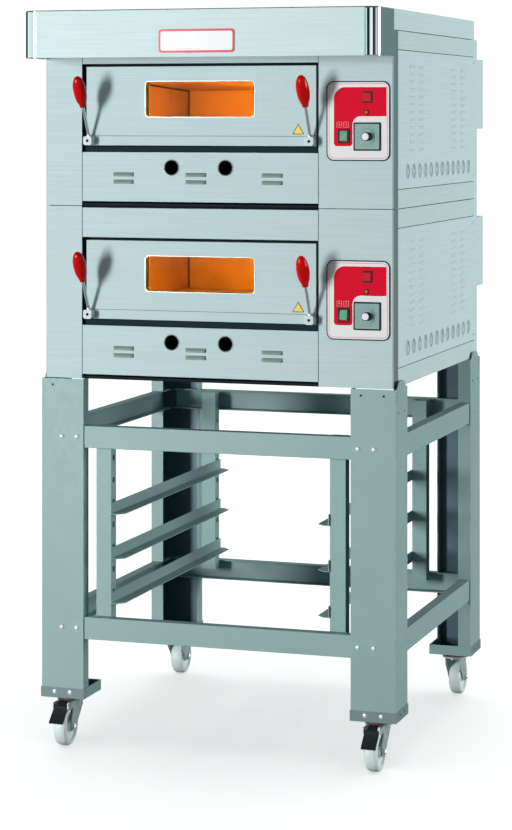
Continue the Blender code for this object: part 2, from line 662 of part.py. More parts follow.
def build_leg(name, side, end):
    """Lipped angle, open to the inside, with its tongue, foot cap and caster plate."""
    steps_in = ((LEG_LIP, LEG_FACE), (0, LEG_FACE), (0, 0), (LEG_FACE, 0), (LEG_FACE, LEG_LIP))
    line = [(*corner_point(side, end, *step), LEG_FOOT) for step in steps_in]
    leg = folded(name, line, (0, 0, STAND_HEIGHT - GAP - LEG_FOOT), LEG_SHEET, STAND_PAINT,
                 outside_first=side * end > 0)

    tongue_length = SLIT_DEPTH + TONGUE_RISE
    outline = [(-TONGUE_WIDTH / 2, -tongue_length), (TONGUE_WIDTH / 2, -tongue_length)]
    for start, side_of_middle in ((0, 1), (90, -1)):
        centre = side_of_middle * (TONGUE_WIDTH / 2 - TONGUE_RADIUS)
        for step in range(5):
            angle = math.radians(start + 90 * step / 4)
            outline.append((centre + TONGUE_RADIUS * math.cos(angle),
                            TONGUE_RADIUS * (math.sin(angle) - 1)))
    x, y = corner_point(side, end, LEG_SHEET / 2, TONGUE_FROM_CORNER + TONGUE_WIDTH / 2)
    tongue = plate(name + "_tongue", outline, LEG_SHEET, (x, y, STAND_HEIGHT + TONGUE_RISE),
                   SIDEWAYS)
    slit_low = corner_point(side, end, -0.01, TONGUE_FROM_CORNER - SLIT_WIDTH)
    slit_high = corner_point(side, end, LEG_SHEET + 0.003, TONGUE_FROM_CORNER)
    slit = box(name + "_slit", *spread(slit_low, slit_high, STAND_HEIGHT - SLIT_DEPTH,
                                       STAND_HEIGHT + 0.05))
    cap_low = corner_point(side, end, (LEG_FACE - CAP_SIDE) / 2, (LEG_FACE - CAP_SIDE) / 2)
    cap_high = corner_point(side, end, (LEG_FACE + CAP_SIDE) / 2, (LEG_FACE + CAP_SIDE) / 2)
    cap = tray(name + "_cap", *spread(cap_low, cap_high, CAP_BOTTOM, CAP_TOP), (0, 0, 1),
               CAP_SHEET)
    x, y = corner_point(side, end, LEG_FACE / 2, LEG_FACE / 2)
    width, depth, thickness = CASTER_PLATE
    caster_plate = box(name + "_caster_plate",
                       (x - width / 2, y - depth / 2, CAP_BOTTOM - thickness),
                       (x + width / 2, y + depth / 2, CAP_BOTTOM + 0.001))
    race = cylinder(name + "_race", RACE_RADIUS, (x, y, RACE_BOTTOM),
                    (x, y, CAP_BOTTOM - thickness + 0.001))
    weld(leg, tongue, cap, caster_plate, race)
    cut(leg, slit)

    lap = LEG_SHEET + GAP
    reach = RAIL_FLANGE + 2 * GAP
    for level, bottom in RAIL_BOTTOMS.items():
        for lip, near, far in (("front_lip", (LEG_FACE - 2 * LEG_SHEET, LEG_SHEET),
                                (LEG_FACE + 0.01, lap + reach + 0.01)),
                               ("side_lip", (LEG_SHEET, LEG_FACE - 2 * LEG_SHEET),
                                (lap + reach + 0.01, LEG_FACE + 0.01))):
            notch = box(f"{name}_{level}_{lip}_notch",
                        *spread(corner_point(side, end, *near), corner_point(side, end, *far),
                                bottom - GAP, bottom + RAIL_HEIGHT + GAP))
            cut(leg, notch)


def spread(first, second, bottom, top):
    """Low and high corners of the box over two plan points, whichever way they lie."""
    low = (min(first[0], second[0]), min(first[1], second[1]), bottom)
    high = (max(first[0], second[0]), max(first[1], second[1]), top)
    return low, high


def build_rails():
    """Channel rails that lap inside the legs, at two heights on all four sides."""
    face = LEG_SHEET + GAP
    for level, bottom in RAIL_BOTTOMS.items():
        top = bottom + RAIL_HEIGHT
        for name, end in (("front", -1), ("rear", 1)):
            y = STAND_Y + end * (STAND_DEPTH / 2 - face)
            start = -STAND_WIDTH / 2 + LEG_FACE - RAIL_LAP
            line = [(start, y - end * back, z) for back, z in
                    ((RAIL_FLANGE, top), (0, top), (0, bottom), (RAIL_FLANGE, bottom))]
            folded(f"stand_rail_{name}_{level}", line, (-2 * start, 0, 0), LEG_SHEET, STAND_PAINT,
                   outside_first=end < 0)
        for name, side in (("left", -1), ("right", 1)):
            x = side * (STAND_WIDTH / 2 - face)
            start = STAND_Y - STAND_DEPTH / 2 + LEG_FACE - RAIL_LAP
            line = [(x - side * back, start, z) for back, z in
                    ((RAIL_FLANGE, top), (0, top), (0, bottom), (RAIL_FLANGE, bottom))]
            folded(f"stand_rail_{name}_{level}", line, (0, 2 * (STAND_Y - start), 0), LEG_SHEET,
                   STAND_PAINT, outside_first=side > 0)


def build_rack():
    """Four slotted posts, open to the outside, and three pairs of tray runners."""
    rear = 2 * STAND_Y - POST_FRONT - POST_DEPTH
    for side_name, side in (("left", -1), ("right", 1)):
        outer = side * abs(POST_OUTER_X)
        web = side * (abs(POST_OUTER_X) - POST_WIDTH)
        for end_name, y in (("front", POST_FRONT), ("rear", rear)):
            line = ((outer, y, POST_BOTTOM), (web, y, POST_BOTTOM),
                    (web, y + POST_DEPTH, POST_BOTTOM), (outer, y + POST_DEPTH, POST_BOTTOM))
            post = folded(f"rack_post_{end_name}_{side_name}", line,
                          (0, 0, POST_TOP - POST_BOTTOM), POST_SHEET, STAND_PAINT,
                          outside_first=side < 0)
            for count in range(SLOT_COUNT):
                z = SLOT_FIRST + count * SLOT_PITCH
                middle = y + POST_DEPTH / 2
                slot = box(f"{post.name}_slot_{count + 1}",
                           (web - 0.006, middle - SLOT_SIZE[0] / 2, z - SLOT_SIZE[1] / 2),
                           (web + 0.006, middle + SLOT_SIZE[0] / 2, z + SLOT_SIZE[1] / 2))
                cut(post, slot)
        start = POST_FRONT - RUNNER_OVERHANG
        length = rear + POST_DEPTH + RUNNER_OVERHANG - start
        for level, bottom in RUNNER_BOTTOMS.items():
            x = web - side * GAP
            line = ((x, start, bottom + RUNNER_HEIGHT), (x, start, bottom),
                    (x - side * RUNNER_FLANGE, start, bottom))
            runner = folded(f"runner_{level}_{side_name}", line, (0, length, 0), RUNNER_SHEET,
                            STAND_PAINT, outside_first=side > 0)
            for end_name, tip, turn in (("front", start, 1), ("rear", start + length, -1)):
                cut(runner, chamfer_cutter(f"{runner.name}_{end_name}_chamfer",
                                           x - side * RUNNER_FLANGE, tip, bottom, side, turn))


def chamfer_cutter(name, x, y, z, side, turn):
    """A prism that takes the sharp corner off a runner's flange."""
    reach = RUNNER_CHAMFER
    outline = [(-0.002 * side, -0.002 * turn), (side * reach, -0.002 * turn),
               (side * reach, 0.0), (0.0, turn * reach), (-0.002 * side, turn * reach)]
    return plate(name, outline, 0.02, (x, y, z), Euler((0, 0, 0)))


# ---------------------------------------------------------------- casters


def build_caster(place, side, end, braked):
    """Fork with its axle, nylon wheel and, on the front casters, a brake pedal."""
    x, y = corner_point(side, end, LEG_FACE / 2, LEG_FACE / 2)
    wheel_y = y + end * CASTER_TRAIL

    crown = cylinder(f"caster_fork_{place}", FORK_CROWN_RADIUS, (x, y, FORK_TOP - FORK_CROWN),
                     (x, y, FORK_TOP), ZINC)
    outer = FORK_INNER / 2 + FORK_SHEET
    bridge = box(f"fork_bridge_{place}",
                 *spread((x - outer, y - end * FORK_BRIDGE_BACK),
                         (x + outer, y + end * FORK_BRIDGE_FRONT),
                         FORK_TOP - FORK_CROWN, FORK_TOP))
    arms = []
    for arm, shift in (("left", -1), ("right", 1)):
        middle = x + shift * (FORK_INNER + FORK_SHEET) / 2
        arms.append(plate(f"fork_arm_{arm}_{place}", arm_outline(end, braked), FORK_SHEET,
                          (middle, y, 0), SIDEWAYS))
    axle = cylinder(f"fork_axle_{place}", AXLE_RADIUS, (x - outer - AXLE_OVERHANG, wheel_y, WHEEL_RADIUS),
                    (x + outer + AXLE_OVERHANG, wheel_y, WHEEL_RADIUS), segments=16)
    weld(crown, bridge, *arms, axle)

    half = WHEEL_WIDTH / 2
    floor_of_dish = half - WHEEL_DISH
    profile = ((WHEEL_RADIUS - 0.008, half), (WHEEL_RADIUS - 0.002, half - 0.003),
               (WHEEL_RADIUS, half - 0.008), (WHEEL_RADIUS, 0.008 - half),
               (WHEEL_RADIUS - 0.002, 0.003 - half), (WHEEL_RADIUS - 0.008, -half),
               (WHEEL_RADIUS - 0.013, -floor_of_dish), (HUB_FOOT_RADIUS, -floor_of_dish),
               (HUB_RADIUS, -half - 0.001), (WHEEL_BORE, -half - 0.001),
               (WHEEL_BORE, half + 0.001), (HUB_RADIUS, half + 0.001),
               (HUB_FOOT_RADIUS, floor_of_dish), (WHEEL_RADIUS - 0.013, floor_of_dish))
    wheel = turned(f"caster_wheel_{place}", profile, True, (x, wheel_y, WHEEL_RADIUS),
                   Euler((0, math.radians(90), 0)), NYLON, steps=28)

    swivel = carry(f"caster_swivel_{place}", (x, y, FORK_TOP), crown)
    spin = carry(f"caster_spin_{place}", (x, wheel_y, WHEEL_RADIUS), wheel)
    spin.parent = swivel
    spin.matrix_parent_inverse = Matrix.Translation(-Vector((x, y, FORK_TOP)))
    if braked:
        build_pedal(place, x, y, end)


def arm_outline(end, braked):
    """Side view of a fork arm as (y, z), from its crown down to the boss about the axle."""
    points = [(-0.022, FORK_TOP), (-0.028, FORK_TOP - 0.006), (-0.028, 0.096), (0.012, 0.052)]
    for step in range(1, 6):
        angle = math.radians(205 + 150 * step / 6)
        points.append((CASTER_TRAIL + FORK_BOSS * math.cos(angle),
                       WHEEL_RADIUS + FORK_BOSS * math.sin(angle)))
    points += [(CASTER_TRAIL + FORK_BOSS, 0.056), (CASTER_TRAIL + 0.002, 0.100)]
    if braked:
        trail, height = PEDAL_PIVOT
        points += [(trail - 0.004, height - 0.008), (trail + 0.007, height - 0.004),
                   (trail + 0.006, FORK_TOP)]
    else:
        points.append((CASTER_TRAIL + 0.008, FORK_TOP))
    return [(end * y, z) for y, z in points]


def build_pedal(place, x, y, end):
    """Foot brake: a sloping pad and a release tab on a cross pin between the fork's arms."""
    trail, height = PEDAL_PIVOT
    pivot = Vector((x, y + end * trail, height))
    half = FORK_INNER / 2 - GAP
    pedal = cylinder(f"brake_pedal_{place}", PEDAL_PIN_RADIUS, pivot - Vector((half, 0, 0)),
                     pivot + Vector((half, 0, 0)), PEDAL_BLACK, segments=12)
    pads = [box(f"pedal_pad_{place}", (-PEDAL_WIDTH / 2, -PEDAL_REACH, -PEDAL_THICKNESS / 2),
                (PEDAL_WIDTH / 2, 0.003, PEDAL_THICKNESS / 2)),
            box(f"pedal_tab_{place}", (-PEDAL_TAB_WIDTH / 2, 0, -PEDAL_THICKNESS / 2),
                (PEDAL_TAB_WIDTH / 2, PEDAL_TAB_REACH, PEDAL_THICKNESS / 2))]
    slope = Matrix.Rotation(PEDAL_SLOPE, 3, "X")
    for pad in pads:
        pad.location = pivot + slope @ pad.location
        pad.rotation_euler = slope.to_euler()
    carry(f"brake_axis_{place}", pivot, weld(pedal, *pads))


# ---------------------------------------------------------------- the whole oven

for deck_name, deck_floor in DECK_FLOORS.items():
    build_casing(deck_name, deck_floor)
    build_burner_cover(deck_name, deck_floor)
    build_chamber(deck_name, deck_floor)
    build_door(deck_name, deck_floor)
    build_controls(deck_name, deck_floor)
    build_rear_box(deck_name, deck_floor)
build_hood()
build_top_cover()
for end_word, end_sign in (("front", -1), ("rear", 1)):
    for side_word, side_sign in (("left", -1), ("right", 1)):
        corner_name = f"{end_word}_{side_word}"
        build_leg(f"leg_{corner_name}", side_sign, end_sign)
        build_caster(corner_name, side_sign, end_sign, end_sign < 0)
build_rails()
build_rack()
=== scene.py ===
"""Looks of the two-deck pizza oven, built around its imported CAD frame. Units are metres."""
import json
import math

import bmesh
import bpy
from mathutils import Matrix, Vector

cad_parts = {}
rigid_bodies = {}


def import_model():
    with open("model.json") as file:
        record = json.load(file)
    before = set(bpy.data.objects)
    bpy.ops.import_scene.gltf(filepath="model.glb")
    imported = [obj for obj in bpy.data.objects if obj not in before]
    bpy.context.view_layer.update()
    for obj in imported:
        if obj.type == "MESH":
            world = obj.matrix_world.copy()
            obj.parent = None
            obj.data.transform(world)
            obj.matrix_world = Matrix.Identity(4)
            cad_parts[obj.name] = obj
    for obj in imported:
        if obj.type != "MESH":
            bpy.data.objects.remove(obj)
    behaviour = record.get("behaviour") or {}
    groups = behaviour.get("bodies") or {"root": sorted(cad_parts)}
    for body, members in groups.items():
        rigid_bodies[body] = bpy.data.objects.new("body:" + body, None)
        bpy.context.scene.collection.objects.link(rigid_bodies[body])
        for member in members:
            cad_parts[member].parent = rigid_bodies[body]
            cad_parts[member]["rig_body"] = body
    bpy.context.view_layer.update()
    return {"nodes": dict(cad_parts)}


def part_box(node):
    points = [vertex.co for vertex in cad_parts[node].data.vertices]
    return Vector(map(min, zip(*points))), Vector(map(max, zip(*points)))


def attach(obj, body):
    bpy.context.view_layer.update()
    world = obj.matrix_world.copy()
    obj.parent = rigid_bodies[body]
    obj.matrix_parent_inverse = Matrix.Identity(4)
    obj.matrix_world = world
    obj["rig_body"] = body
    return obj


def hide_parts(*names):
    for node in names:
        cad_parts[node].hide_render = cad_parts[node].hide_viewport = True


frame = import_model()
nodes = frame["nodes"]

# ---------------------------------------------------------------- places read from the frame

SEAM = 0.0016                    # dark joint between two sheets
SHEET = 0.0015                   # visible sheet metal
BODY = "oven_body"
DECKS = ("lower", "upper")
SIDES = (("left", -1), ("right", 1))
ENDS = (("front", -1), ("rear", 1))

casing_low, casing_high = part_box("lower_casing")
LEFT, FRONT = casing_low.xy
RIGHT, BACK = casing_high.xy
FLOORS = {deck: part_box(f"{deck}_casing")[0].z for deck in DECKS}
DECK_HEIGHT = FLOORS["upper"] - FLOORS["lower"]
cover_low, cover_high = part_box("lower_burner_cover")
MOUTH_LEFT = cover_low.x - 0.0005
MOUTH_RIGHT = cover_high.x + 0.0005
MOUTH_CENTRE = (MOUTH_LEFT + MOUTH_RIGHT) / 2
MOUTH_TOP = 0.373                # heights on a deck are above its own floor
door_low, door_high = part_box("lower_door")
DOOR_BOTTOM = door_low.z - FLOORS["lower"]
DOOR_TOP = door_high.z - FLOORS["lower"]
PANEL_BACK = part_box("top_cover")[1].y       # rear edge of the side panels
PANEL_START = FRONT + 0.045                 # front edge of the side panels
SIDE_SEAMS = (0.049, 0.405)                 # heights of the two seams across a deck's side
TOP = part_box("top_cover")[1].z
STAND_TOP = FLOORS["lower"]

# ---------------------------------------------------------------- materials

EVEN = (1, 1, 1)                 # noise drawn out along no axis
ACROSS = (0.02, 1, 1)            # brush lines along X
FRONT_BACK = (1, 0.02, 1)        # brush lines along Y


def add_node(tree, kind, *values, **inputs):
    """A new shader node. Each input, by order or by name, takes a value or another's output."""
    node = tree.nodes.new(f"ShaderNode{kind}")
    given = list(zip(node.inputs, values))
    given += [(node.inputs[name.replace("_", " ")], value) for name, value in inputs.items()]
    for socket, value in given:
        if isinstance(value, bpy.types.NodeSocket):
            tree.links.new(value, socket)
        else:
            socket.default_value = value
    return node


class Finish:
    """A procedural material, and the record's slot that it stands for."""

    def __init__(self, name, slot, colour, roughness, metallic=0.0, **sockets):
        self.slot = slot
        self.colour = colour
        self.roughness = roughness
        self.material = bpy.data.materials.new(name)
        self.material.use_nodes = True
        self.tree = self.material.node_tree
        self.shader = self.tree.nodes["Principled BSDF"]
        self.shader.inputs["Base Color"].default_value = (*colour, 1.0)
        self.shader.inputs["Roughness"].default_value = roughness
        self.shader.inputs["Metallic"].default_value = metallic
        for socket, value in sockets.items():
            self.shader.inputs[socket.replace("_", " ")].default_value = value

    def noise(self, scale, stretch, detail):
        """Noise in the piece's own metres, finer by scale and drawn out by stretch."""
        place = add_node(self.tree, "TexCoord").outputs["Object"]
        mapping = add_node(self.tree, "Mapping", Vector=place, Scale=stretch)
        texture = add_node(self.tree, "TexNoise", Vector=mapping.outputs["Vector"], Scale=scale,
                           Detail=detail)
        return texture.outputs["Fac"]

    def mottle(self, amount, scale, stretch=EVEN, detail=3.0):
        """Lightens and darkens the base colour by up to amount."""
        ramp = add_node(self.tree, "ValToRGB", self.noise(scale, stretch, detail))
        elements = ramp.color_ramp.elements
        for element, position, sign in zip(elements, (0.3, 0.7), (-1, 1)):
            element.position = position
            element.color = (*(min(1.0, part * (1 + sign * amount)) for part in self.colour), 1.0)
        self.tree.links.new(ramp.outputs["Color"], self.shader.inputs["Base Color"])
        return self

    def smudge(self, amount, scale, stretch=EVEN, detail=3.0):
        """Varies the roughness by up to amount."""
        spread = add_node(self.tree, "MapRange", self.noise(scale, stretch, detail), 0.3, 0.7,
                          max(0.02, self.roughness - amount), self.roughness + amount)
        self.tree.links.new(spread.outputs["Result"], self.shader.inputs["Roughness"])
        return self

    def grain(self, height, scale, strength=1.0, stretch=EVEN, detail=3.0):
        """Adds a bump of the given real height in metres."""
        bump = add_node(self.tree, "Bump", Distance=height, Strength=strength,
                        Height=self.noise(scale, stretch, detail))
        self.tree.links.new(bump.outputs["Normal"], self.shader.inputs["Normal"])
        return self

    def glow(self, colour, strength):
        self.shader.inputs["Emission Color"].default_value = (*colour, 1.0)
        self.shader.inputs["Emission Strength"].default_value = strength
        return self


def brushed(name, slot, colour, roughness, stretch, metallic=0.75, **sockets):
    """Stainless sheet with fine brush lines along the axis whose stretch is small."""
    made = Finish(name, slot, colour, roughness, metallic, **sockets)
    made.smudge(0.06, 900, stretch, 2.0)
    made.mottle(0.045, 240, stretch, 4.0)
    return made.grain(0.00002, 900, 0.35, stretch, 2.0)


def dull_sheet(name, slot, colour, stretch):
    """Brushed sheet that looks nearly matt, as the outer sheets do under flat light."""
    return brushed(name, slot, colour, 0.60, stretch, 0.05, Specular_IOR_Level=0.1)


CASING = dull_sheet("casing_steel", "casing_steel", (0.52, 0.66, 0.67), ACROSS)
HOOD_FRONT = dull_sheet("hood_steel", "hood_steel", (0.66, 0.80, 0.81), ACROSS)
SIDE_SHEET = dull_sheet("side_sheet", "casing_steel", (0.56, 0.72, 0.74), FRONT_BACK)
SIDE_BAND = dull_sheet("side_band", "casing_steel", (0.53, 0.69, 0.67), FRONT_BACK)
# painted shade: the front louvres are the cover plate's steel, coloured much darker
LOUVRE_PAINTED_SHADE = brushed("louvre_steel_painted_shade", "casing_steel", (0.20, 0.33, 0.28), 0.5, ACROSS, 0.15)
RETURN = Finish("casing_return", "casing_steel", (0.58, 0.68, 0.68), 0.16, 0.95)
# painted reflection: the lavender-grey line along the columns' corner bends
FOLD_PAINTED_REFLECTION = Finish("column_fold_painted_reflection", "casing_steel", (0.44, 0.47, 0.56), 0.5, Specular_IOR_Level=0.1)
HOOD_CORNER = Finish("hood_corner", "hood_steel", (0.84, 0.90, 0.91), 0.06, 1.0)
# painted shade: the side dishes are the side sheet's steel, coloured darker
DISH_PAINTED_SHADE = Finish("dish_steel_painted_shade", "casing_steel", (0.36, 0.52, 0.51), 0.45, 0.10)
TRIM = brushed("window_trim", "casing_steel", (0.50, 0.58, 0.58), 0.30, ACROSS)
# near black for dark joints, and painted shade in holes, tubes, reveals and the mouth's lining
JOINT_AND_SHADE_BLACK = Finish("joint_and_painted_shade_black", "casing_steel", (0.005, 0.013, 0.017), 0.6, Specular_IOR_Level=0.1)
SILL_DARK = Finish("sill_dark", "casing_steel", (0.007, 0.022, 0.030), 0.6, Specular_IOR_Level=0.08)
CARCASS = Finish("carcass_sheet", "casing_steel", (0.010, 0.016, 0.020), 0.5, 0.5)
CHAMBER = Finish("chamber_steel", "chamber_steel", (0.55, 0.40, 0.24), 0.42, 0.6)
CHAMBER.mottle(0.18, 6).smudge(0.08, 30)
STONE = Finish("hearth_stone", "hearth_stone", (0.62, 0.50, 0.36), 0.85)
STONE.mottle(0.16, 14, detail=8.0).grain(0.0004, 240)
IRON = Finish("burner_iron", "burner_iron", (0.05, 0.05, 0.05), 0.6, 0.7)
IRON.mottle(0.3, 25).grain(0.0002, 300)
GLASS = Finish("door_glass", "door_glass", (1.0, 0.97, 0.92), 0.02, 0.0,
               Transmission_Weight=1.0, IOR=1.2)
GRIP = Finish("grip_red", "lever_finish", (0.58, 0.001, 0.001), 0.10, Specular_IOR_Level=0.25)
GRIP.mottle(0.10, 40).grain(0.0003, 60, 0.25)
ROD = Finish("rod_steel", "zinc", (0.80, 0.86, 0.90), 0.10, 0.9)
BLOCK = Finish("block_zinc", "zinc", (0.66, 0.75, 0.75), 0.45, Specular_IOR_Level=0.2)
PLATE = Finish("panel_white", "panel_white", (0.84, 0.84, 0.84), 0.45, Specular_IOR_Level=0.15)
PLATE.mottle(0.02, 300).grain(0.00001, 1500)
PRINT_RED = Finish("print_red", "panel_white", (0.74, 0.002, 0.024), 0.5, Specular_IOR_Level=0.05)
PRINT_RED.mottle(0.04, 300)
BADGE_RED = Finish("badge_red", "panel_white", (0.66, 0.006, 0.012), 0.25, Coat_Weight=0.3)
BADGE_WHITE = Finish("badge_white", "panel_white", (0.86, 0.87, 0.87), 0.28, Coat_Weight=0.3)
PRINT_PINK = Finish("print_pink", "panel_white", (0.72, 0.22, 0.27), 0.38)
BEZEL = Finish("bezel_black", "knob_black", (0.005, 0.011, 0.017), 0.45, Specular_IOR_Level=0.15)
BEZEL.grain(0.00003, 1200)
DIAL = Finish("dial_grey", "knob_black", (0.20, 0.36, 0.34), 0.42)
DIAL.mottle(0.05, 250).grain(0.00003, 1200)
BEZEL_LINE = Finish("bezel_line", "knob_black", (0.10, 0.20, 0.19), 0.45)
DIAL_MARK = Finish("dial_mark", "panel_white", (0.46, 0.62, 0.62), 0.4)
KNOB = Finish("knob_black", "knob_black", (0.008, 0.009, 0.010), 0.30)
KNOB.grain(0.00003, 900)
KNOB_CAP = Finish("knob_cap", "knob_black", (0.88, 0.89, 0.89), 0.25)
ROCKER = Finish("rocker_green", "rocker_green", (0.12, 0.46, 0.26), 0.22, 0.0, Coat_Weight=0.4)
ROCKER.mottle(0.2, 120)
LENS_RED = Finish("display_red", "panel_white", (0.64, 0.002, 0.020), 0.35, Specular_IOR_Level=0.1)
LAMP = Finish("lamp_amber", "panel_white", (0.55, 0.16, 0.02), 0.2).glow((0.9, 0.25, 0.03), 0.15)
SIGN_YELLOW = Finish("sign_yellow", "casing_steel", (0.85, 0.60, 0.02), 0.4)
PAINT = Finish("stand_paint", "stand_paint", (0.260, 0.410, 0.400), 0.50, 0.05)
PAINT.mottle(0.035, 7).smudge(0.05, 90).grain(0.00004, 700, 0.5)
FOOT_CAP = Finish("foot_cap", "stand_paint", (0.165, 0.255, 0.250), 0.50, 0.05)
# painted shade: the stand's inner leg faces, coloured darker and bluer than its paint; the cap screws
# on the flanks take this colour too
PAINTED_SHADE_DARK = Finish("stand_painted_shade", "stand_paint", (0.060, 0.110, 0.150), 0.40, 0.2)
PAINTED_SHADE_DARK.mottle(0.05, 7).grain(0.00004, 700, 0.5)
ZINC = Finish("zinc_plate", "zinc", (0.50, 0.62, 0.63), 0.35, 0.40)
ZINC.mottle(0.14, 45).smudge(0.10, 60)
BOLT = Finish("bolt_bright", "zinc", (0.90, 0.93, 0.93), 0.28, 0.3)
BOLT.smudge(0.05, 200)
NYLON = Finish("nylon", "nylon", (0.76, 0.87, 0.84), 0.45, 0.0, Subsurface_Weight=0.1)
NYLON.mottle(0.04, 50).grain(0.00008, 260)
PEDAL = Finish("pedal_black", "pedal_black", (0.012, 0.016, 0.020), 0.42)
PEDAL.mottle(0.3, 80).grain(0.00006, 500)
SEAL_RED = Finish("swivel_seal", "pedal_black", (0.50, 0.02, 0.02), 0.4)

# ---------------------------------------------------------------- mesh helpers

TO_FRONT = Matrix(((1, 0, 0), (0, 0, 1), (0, 1, 0))).to_4x4()     # outline XY to world XZ
TO_SIDE = Matrix(((0, 0, 1), (1, 0, 0), (0, 1, 0))).to_4x4()      # outline XY to world YZ
FLAT = Matrix.Identity(4)                                         # outline XY to world XY


def placed(name, data):
    """A new object that holds data, linked into the scene."""
    made = bpy.data.objects.new(name, data)
    bpy.context.scene.collection.objects.link(made)
    return made


def piece(name, mesh, finish, body=BODY, smooth=35):
    """Puts a mesh in the scene with its finish, riding on a CAD body."""
    finishes = finish if isinstance(finish, (list, tuple)) else [finish]
    for one in finishes:
        mesh.materials.append(one.material)
    mesh.shade_smooth()
    mesh.set_sharp_from_angle(angle=math.radians(smooth))
    made = placed(name, mesh)
    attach(made, body)
    return weighted(made)


def weighted(made):
    """Keeps a large flat face evenly shaded beside the small rounded ones at its edges."""
    change = made.modifiers.new("weighted", "WEIGHTED_NORMAL")
    change.keep_sharp = True
    return made


def from_bmesh(name, shape):
    mesh = bpy.data.meshes.new(name)
    shape.to_mesh(mesh)
    shape.free()
    return mesh


def soften(made, width, segments=2, angle=35):
    """Rounds a piece's sharp edges."""
    bevel = made.modifiers.new("soften", "BEVEL")
    bevel.width = width
    bevel.segments = segments
    bevel.limit_method = "ANGLE"
    bevel.angle_limit = math.radians(angle)
    bevel.harden_normals = True
    return made


def refined(node, finish, width=0.0008):
    """A CAD node's own shape with rounded edges, shown in the node's place."""
    shape = bmesh.new()
    shape.from_mesh(nodes[node].data)
    bmesh.ops.remove_doubles(shape, verts=shape.verts, dist=0.00002)
    bmesh.ops.dissolve_limit(shape, angle_limit=math.radians(1), verts=shape.verts,
                             edges=shape.edges)
    source = from_bmesh("source", shape)
    name = f"{node}_skin"
    mesh = bpy.data.meshes.new(name)
    mesh.from_pydata([tuple(v.co) for v in source.vertices], [],
                     [tuple(face.vertices) for face in source.polygons])
    bpy.data.meshes.remove(source)
    made = piece(name, mesh, finish, nodes[node]["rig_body"])
    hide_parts(node)
    return soften(made, width) if width else made


def box_mesh(name, low, high):
    shape = bmesh.new()
    size = Vector(high) - Vector(low)
    middle = (Vector(high) + Vector(low)) / 2
    bmesh.ops.create_cube(shape, size=1.0,
                          matrix=Matrix.Translation(middle) @ Matrix.Diagonal((*size, 1.0)))
    return from_bmesh(name, shape)


def extruded_mesh(name, outlines, low, high, turn, edge=0.0003):
    """A flat outline, with any holes after it, made thick from low to high along its own Z."""
    curve = bpy.data.curves.new(name, "CURVE")
    curve.dimensions = "2D"
    curve.fill_mode = "BOTH"
    curve.extrude = (high - low) / 2 - edge
    curve.bevel_depth = edge
    curve.bevel_resolution = 1
    curve.offset = -edge
    for outline in outlines:
        line = curve.splines.new("POLY")
        line.points.add(len(outline) - 1)
        for point, (x, y) in zip(line.points, outline):
            point.co = (x, y, 0.0, 1.0)
        line.use_cyclic_u = True
    source = placed(name, curve)
    bpy.context.view_layer.update()
    evaluated = source.evaluated_get(bpy.context.evaluated_depsgraph_get())
    mesh = bpy.data.meshes.new_from_object(evaluated)
    bpy.data.objects.remove(source)
    bpy.data.curves.remove(curve)
    shape = bmesh.new()
    shape.from_mesh(mesh)
    bpy.data.meshes.remove(mesh)
    bmesh.ops.remove_doubles(shape, verts=shape.verts, dist=0.000001)
    bmesh.ops.dissolve_limit(shape, angle_limit=math.radians(0.5), verts=shape.verts,
                             edges=shape.edges)
    shape.transform(turn @ Matrix.Translation((0, 0, (low + high) / 2)))
    bmesh.ops.recalc_face_normals(shape, faces=shape.faces)
    return from_bmesh(name, shape)


def rectangle(left, bottom, right, top):
    return [(left, bottom), (right, bottom), (right, top), (left, top)]


def rounded(centre, width, height, radius, steps=5):
    """Points of a rectangle with round corners, anticlockwise."""
    points = []
    for quarter, (side, end) in enumerate(((1, 1), (-1, 1), (-1, -1), (1, -1))):
        x = centre[0] + side * (width / 2 - radius)
        y = centre[1] + end * (height / 2 - radius)
        for step in range(steps + 1):
            angle = math.radians(90) * (quarter + step / steps)
            points.append((x + radius * math.cos(angle), y + radius * math.sin(angle)))
    return points


def circle(centre, radius, steps=32):
    return [(centre[0] + radius * math.cos(math.tau * step / steps),
             centre[1] + radius * math.sin(math.tau * step / steps)) for step in range(steps)]


def folded_outline(line, thickness, bend, steps=5):
    """Outline of a bent sheet's section. line is its outer line; the sheet lies to its left."""
    points = [Vector(point) for point in line]
    rounded_line = [points[0]]
    for before, corner, after in zip(points, points[1:], points[2:]):
        back = (before - corner).normalized()
        ahead = (after - corner).normalized()
        half = back.angle(ahead) / 2
        centre = corner + (back + ahead).normalized() * bend / math.sin(half)
        start = corner + back * bend / math.tan(half) - centre
        end = corner + ahead * bend / math.tan(half) - centre
        turn = math.copysign(math.pi - 2 * half, start.cross(end))
        rounded_line += [centre + Matrix.Rotation(turn * step / steps, 2) @ start
                         for step in range(steps + 1)]
    rounded_line.append(points[-1])
    inner = []
    for index, point in enumerate(rounded_line):
        before = rounded_line[max(index - 1, 0)]
        after = rounded_line[min(index + 1, len(rounded_line) - 1)]
        along = (after - before).normalized()
        inner.append(point + Vector((-along.y, along.x)) * thickness)
    return [tuple(point) for point in rounded_line + inner[::-1]]


def lathe_mesh(name, profile, steps=32):
    """A profile of (radius, height) points turned about Z, closed where its radius is 0."""
    shape = bmesh.new()
    rings = []
    for radius, height in profile:
        if radius == 0:
            rings.append([shape.verts.new((0, 0, height))])
        else:
            rings.append([shape.verts.new((radius * math.cos(math.tau * step / steps),
                                           radius * math.sin(math.tau * step / steps), height))
                          for step in range(steps)])
    for first, second in zip(rings, rings[1:]):
        for step in range(steps):
            corners = [first[step % len(first)], first[(step + 1) % len(first)],
                       second[(step + 1) % len(second)], second[step % len(second)]]
            corners = list(dict.fromkeys(corners))
            if len(corners) > 2:
                shape.faces.new(corners)
    bmesh.ops.recalc_face_normals(shape, faces=shape.faces)
    return from_bmesh(name, shape)


